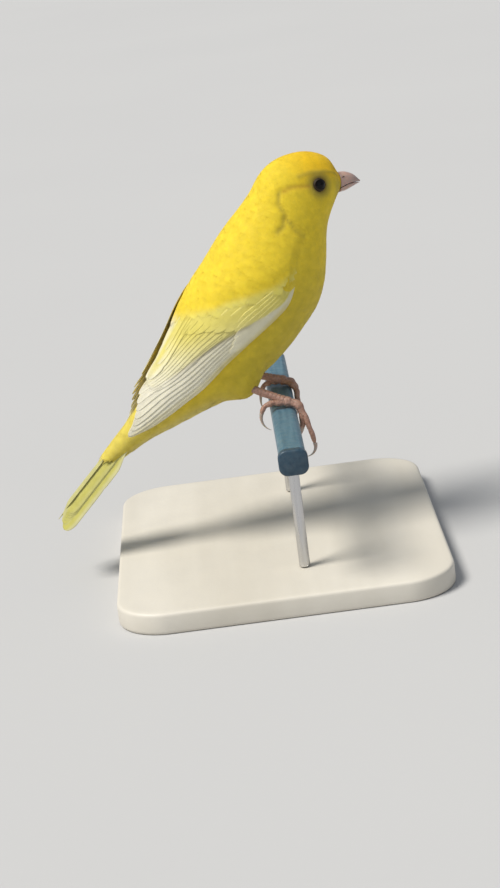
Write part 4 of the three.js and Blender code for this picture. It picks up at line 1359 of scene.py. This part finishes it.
def rounded_ring(width, height, corner, per_corner=10):
    """Points of a rounded rectangle, anticlockwise from the right side's top."""
    ring = []
    for k, (sx, sy) in enumerate(((1, 1), (-1, 1), (-1, -1), (1, -1))):
        for j in range(per_corner + 1):
            angle = (k + j / per_corner) * math.pi / 2
            ring.append([sx * (width / 2 - corner) + corner * math.cos(angle),
                         sy * (height / 2 - corner) + corner * math.sin(angle)])
    return np.array(ring)


def bar(wider, start, end, bevel, ribs=0.0):
    """A bar along the perch's line with its end edges rounded; ribs are shallow lengthwise grooves."""
    edge = [(0.0, -bevel), (bevel * 0.3, -bevel * 0.3), (bevel, 0.0)]
    stations = [(start + way, grown) for way, grown in edge]
    stations += [(y, 0.0) for y in np.linspace(start + bevel, end - bevel, 40)[1:-1]]
    stations += [(end - way, grown) for way, grown in reversed(edge)]
    rings = []
    for y, grown in stations:
        extra = wider + 2 * grown
        ring = rounded_ring(PERCH["width"] + extra, PERCH["height"] + extra, PERCH["corner"] + extra / 2)
        angle = np.arctan2(ring[:, 1], ring[:, 0])
        ring = ring * (1 - ribs * (0.5 + 0.5 * np.cos(angle * 16)))[:, None]
        high = ring[:, 1] + PERCH_TOP - PERCH["height"] / 2
        rings.append(np.stack([ring[:, 0], np.full(len(ring), y), high], -1))
    return loft(rings)


def plastic_look(name, base, streak, roughness):
    """Moulded plastic with lengthwise streaks and a little dust."""
    look = Look(name, roughness)
    along = look.noise(160, 4, (6, 0.35, 6))
    colour = look.blend(look.remap(along, 0.0, 0.8), base, streak)
    colour = look.blend(look.remap(look.noise(700, 5), 0.0, 0.09), colour, (0.33, 0.38, 0.38))
    height = look.maths("ADD", along, look.maths("MULTIPLY", look.noise(2600, 3), 0.4))
    worn = look.remap(look.noise(500), roughness - 0.1, roughness + 0.15)
    return look.finish(colour, height, 0.25, 0.0001, worn)


def build_perch():
    end = PERCH["length"] / 2
    bar_look = plastic_look("perch_plastic", (0.040, 0.11, 0.165), (0.10, 0.20, 0.26), 0.42)
    # The end cap's dark navy is painted shade: it stands in for the shadowed end face of the perch.
    cap_shade_look = plastic_look("perch_end_painted_shade", (0.009, 0.036, 0.066), (0.018, 0.058, 0.095), 0.4)
    cap_end = CAP["long"] - end
    new_object("perch_bar", bar(0.0, cap_end + CAP["gap"], end, 0.25, 0.012), bar_look, "perch", ["perch"])
    new_object("perch_cap", bar(CAP["wider"], -end, cap_end, 0.5), cap_shade_look, "perch_end", ["perch_end"])


def build_base():
    rings = []
    for grown, z in BASE_PROFILE:
        ring = rounded_ring(BASE["width"] + 2 * grown, BASE["depth"] + 2 * grown, BASE["corner"] + grown, 16)
        rings.append(np.stack([ring[:, 0] + BASE["centre_x"], ring[:, 1], np.full(len(ring), z)], -1))
    look = Look("stand_base_finish", 0.5)
    grain = look.noise(60, 5, (1, 0.12, 1))
    colour = look.blend(look.remap(grain, 0.0, 1.0), (0.60, 0.56, 0.48), (0.70, 0.66, 0.58))
    material = look.finish(colour, look.noise(900, 4), 0.15, 0.0002, look.remap(look.noise(120), 0.42, 0.6))
    new_object("stand_plate", loft(rings), material, "stand_base", ["stand_base"])


def build_rods():
    look = Look("rod_steel", 0.3, Metallic=1.0)
    brush = look.noise(900, 3, (1, 1, 0.06))
    colour = look.blend(brush, (0.50, 0.50, 0.51), (0.68, 0.68, 0.69))
    steel = look.finish(colour, brush, 0.08, 0.0001, look.remap(brush, 0.22, 0.38))
    bottom, top = BASE["height"] + GAP, PERCH_TOP - PERCH["height"] - GAP
    full, bevel = ROD["radius"], ROD["bevel"]
    levels = np.linspace(bottom + bevel, top - bevel, ROD["levels"])
    profile = [(full - bevel, bottom)] + [(full, z) for z in levels] + [(full - bevel, top)]
    angle = circle(ROD["sides"])
    for name, y in ROD["places"].items():
        rings = [np.stack([r * np.cos(angle), y + r * np.sin(angle), np.full(len(angle), z)], -1)
                 for r, z in profile]
        new_object(f"stand_post_rod_{name}", loft(rings), steel, "stand_rod", [f"stand_rod_{name}"])


build_perch()
build_base()
build_rods()


# Floor, light and camera

FLOOR_HALF = 6000.0
# Direction it comes from, power, softness in degrees, and colour.
SUNS = {"key": ((-0.50, -0.20, 0.84), 3.7, 24, (1.0, 0.965, 0.90)),
        "fill": ((0.35, -0.85, 0.35), 0.22, 60, (0.90, 0.95, 1.0))}
SKY_COLOUR, SKY_POWER = (0.80, 0.86, 0.95, 1), 0.36
# The focal length, the picture's height and how far it looks down, all in the photograph's pixels.
CAMERA = {"focal": 2100, "height": 888, "look_down": 629, "roll": math.radians(7.5),
          "place": (-10.6, -575.4, 205.0), "sensor": 36, "clip": (0.01, 50)}


def build_floor():
    look = Look("floor", 0.85)
    colour = look.blend(look.noise(3, 3), (0.50, 0.50, 0.505), (0.53, 0.53, 0.53))
    material = look.finish(colour, look.noise(200, 3), 0.05, 0.0005)
    points = FLOOR_HALF * np.array([[-1, -1, 0], [1, -1, 0], [1, 1, 0], [-1, 1, 0]])
    new_object("floor", (points, np.array([[0, 1, 2, 3]])), material, None)


def add_light():
    """Broad even light from two sides, and a pale sky."""
    for name, (direction, power, softness, colour) in SUNS.items():
        data = bpy.data.lights.new(name, "SUN")
        data.energy = power
        data.angle = math.radians(softness)
        data.color = colour
        light = bpy.data.objects.new(name, data)
        light.rotation_euler = Vector(direction).to_track_quat("Z", "Y").to_euler()
        bpy.context.scene.collection.objects.link(light)
    world = bpy.data.worlds.new("studio")
    world.use_nodes = True
    sky = world.node_tree.nodes["Background"].inputs
    sky[0].default_value, sky[1].default_value = SKY_COLOUR, SKY_POWER
    bpy.context.scene.world = world
    bpy.context.scene.view_settings.view_transform = "Standard"


def add_camera():
    """The photograph's own view: from the bird's right, above the perch and rolled a little."""
    pitch, roll = math.atan(CAMERA["look_down"] / CAMERA["focal"]), CAMERA["roll"]
    ahead = Vector((0, math.cos(pitch), -math.sin(pitch)))
    level = Vector((1, 0, 0))
    up = level.cross(ahead)
    right = level * math.cos(roll) - up * math.sin(roll)
    above = level * math.sin(roll) + up * math.cos(roll)
    data = bpy.data.cameras.new("camera")
    data.sensor_width = CAMERA["sensor"]
    data.lens = CAMERA["sensor"] * CAMERA["focal"] / CAMERA["height"]
    data.clip_start, data.clip_end = CAMERA["clip"]
    camera = bpy.data.objects.new("camera", data)
    rotation = Matrix((right, above, -ahead)).transposed().to_4x4()
    camera.matrix_world = Matrix.Translation(Vector(CAMERA["place"]) * MM) @ rotation
    bpy.context.scene.collection.objects.link(camera)
    bpy.context.scene.camera = camera


build_floor()
add_light()
add_camera()
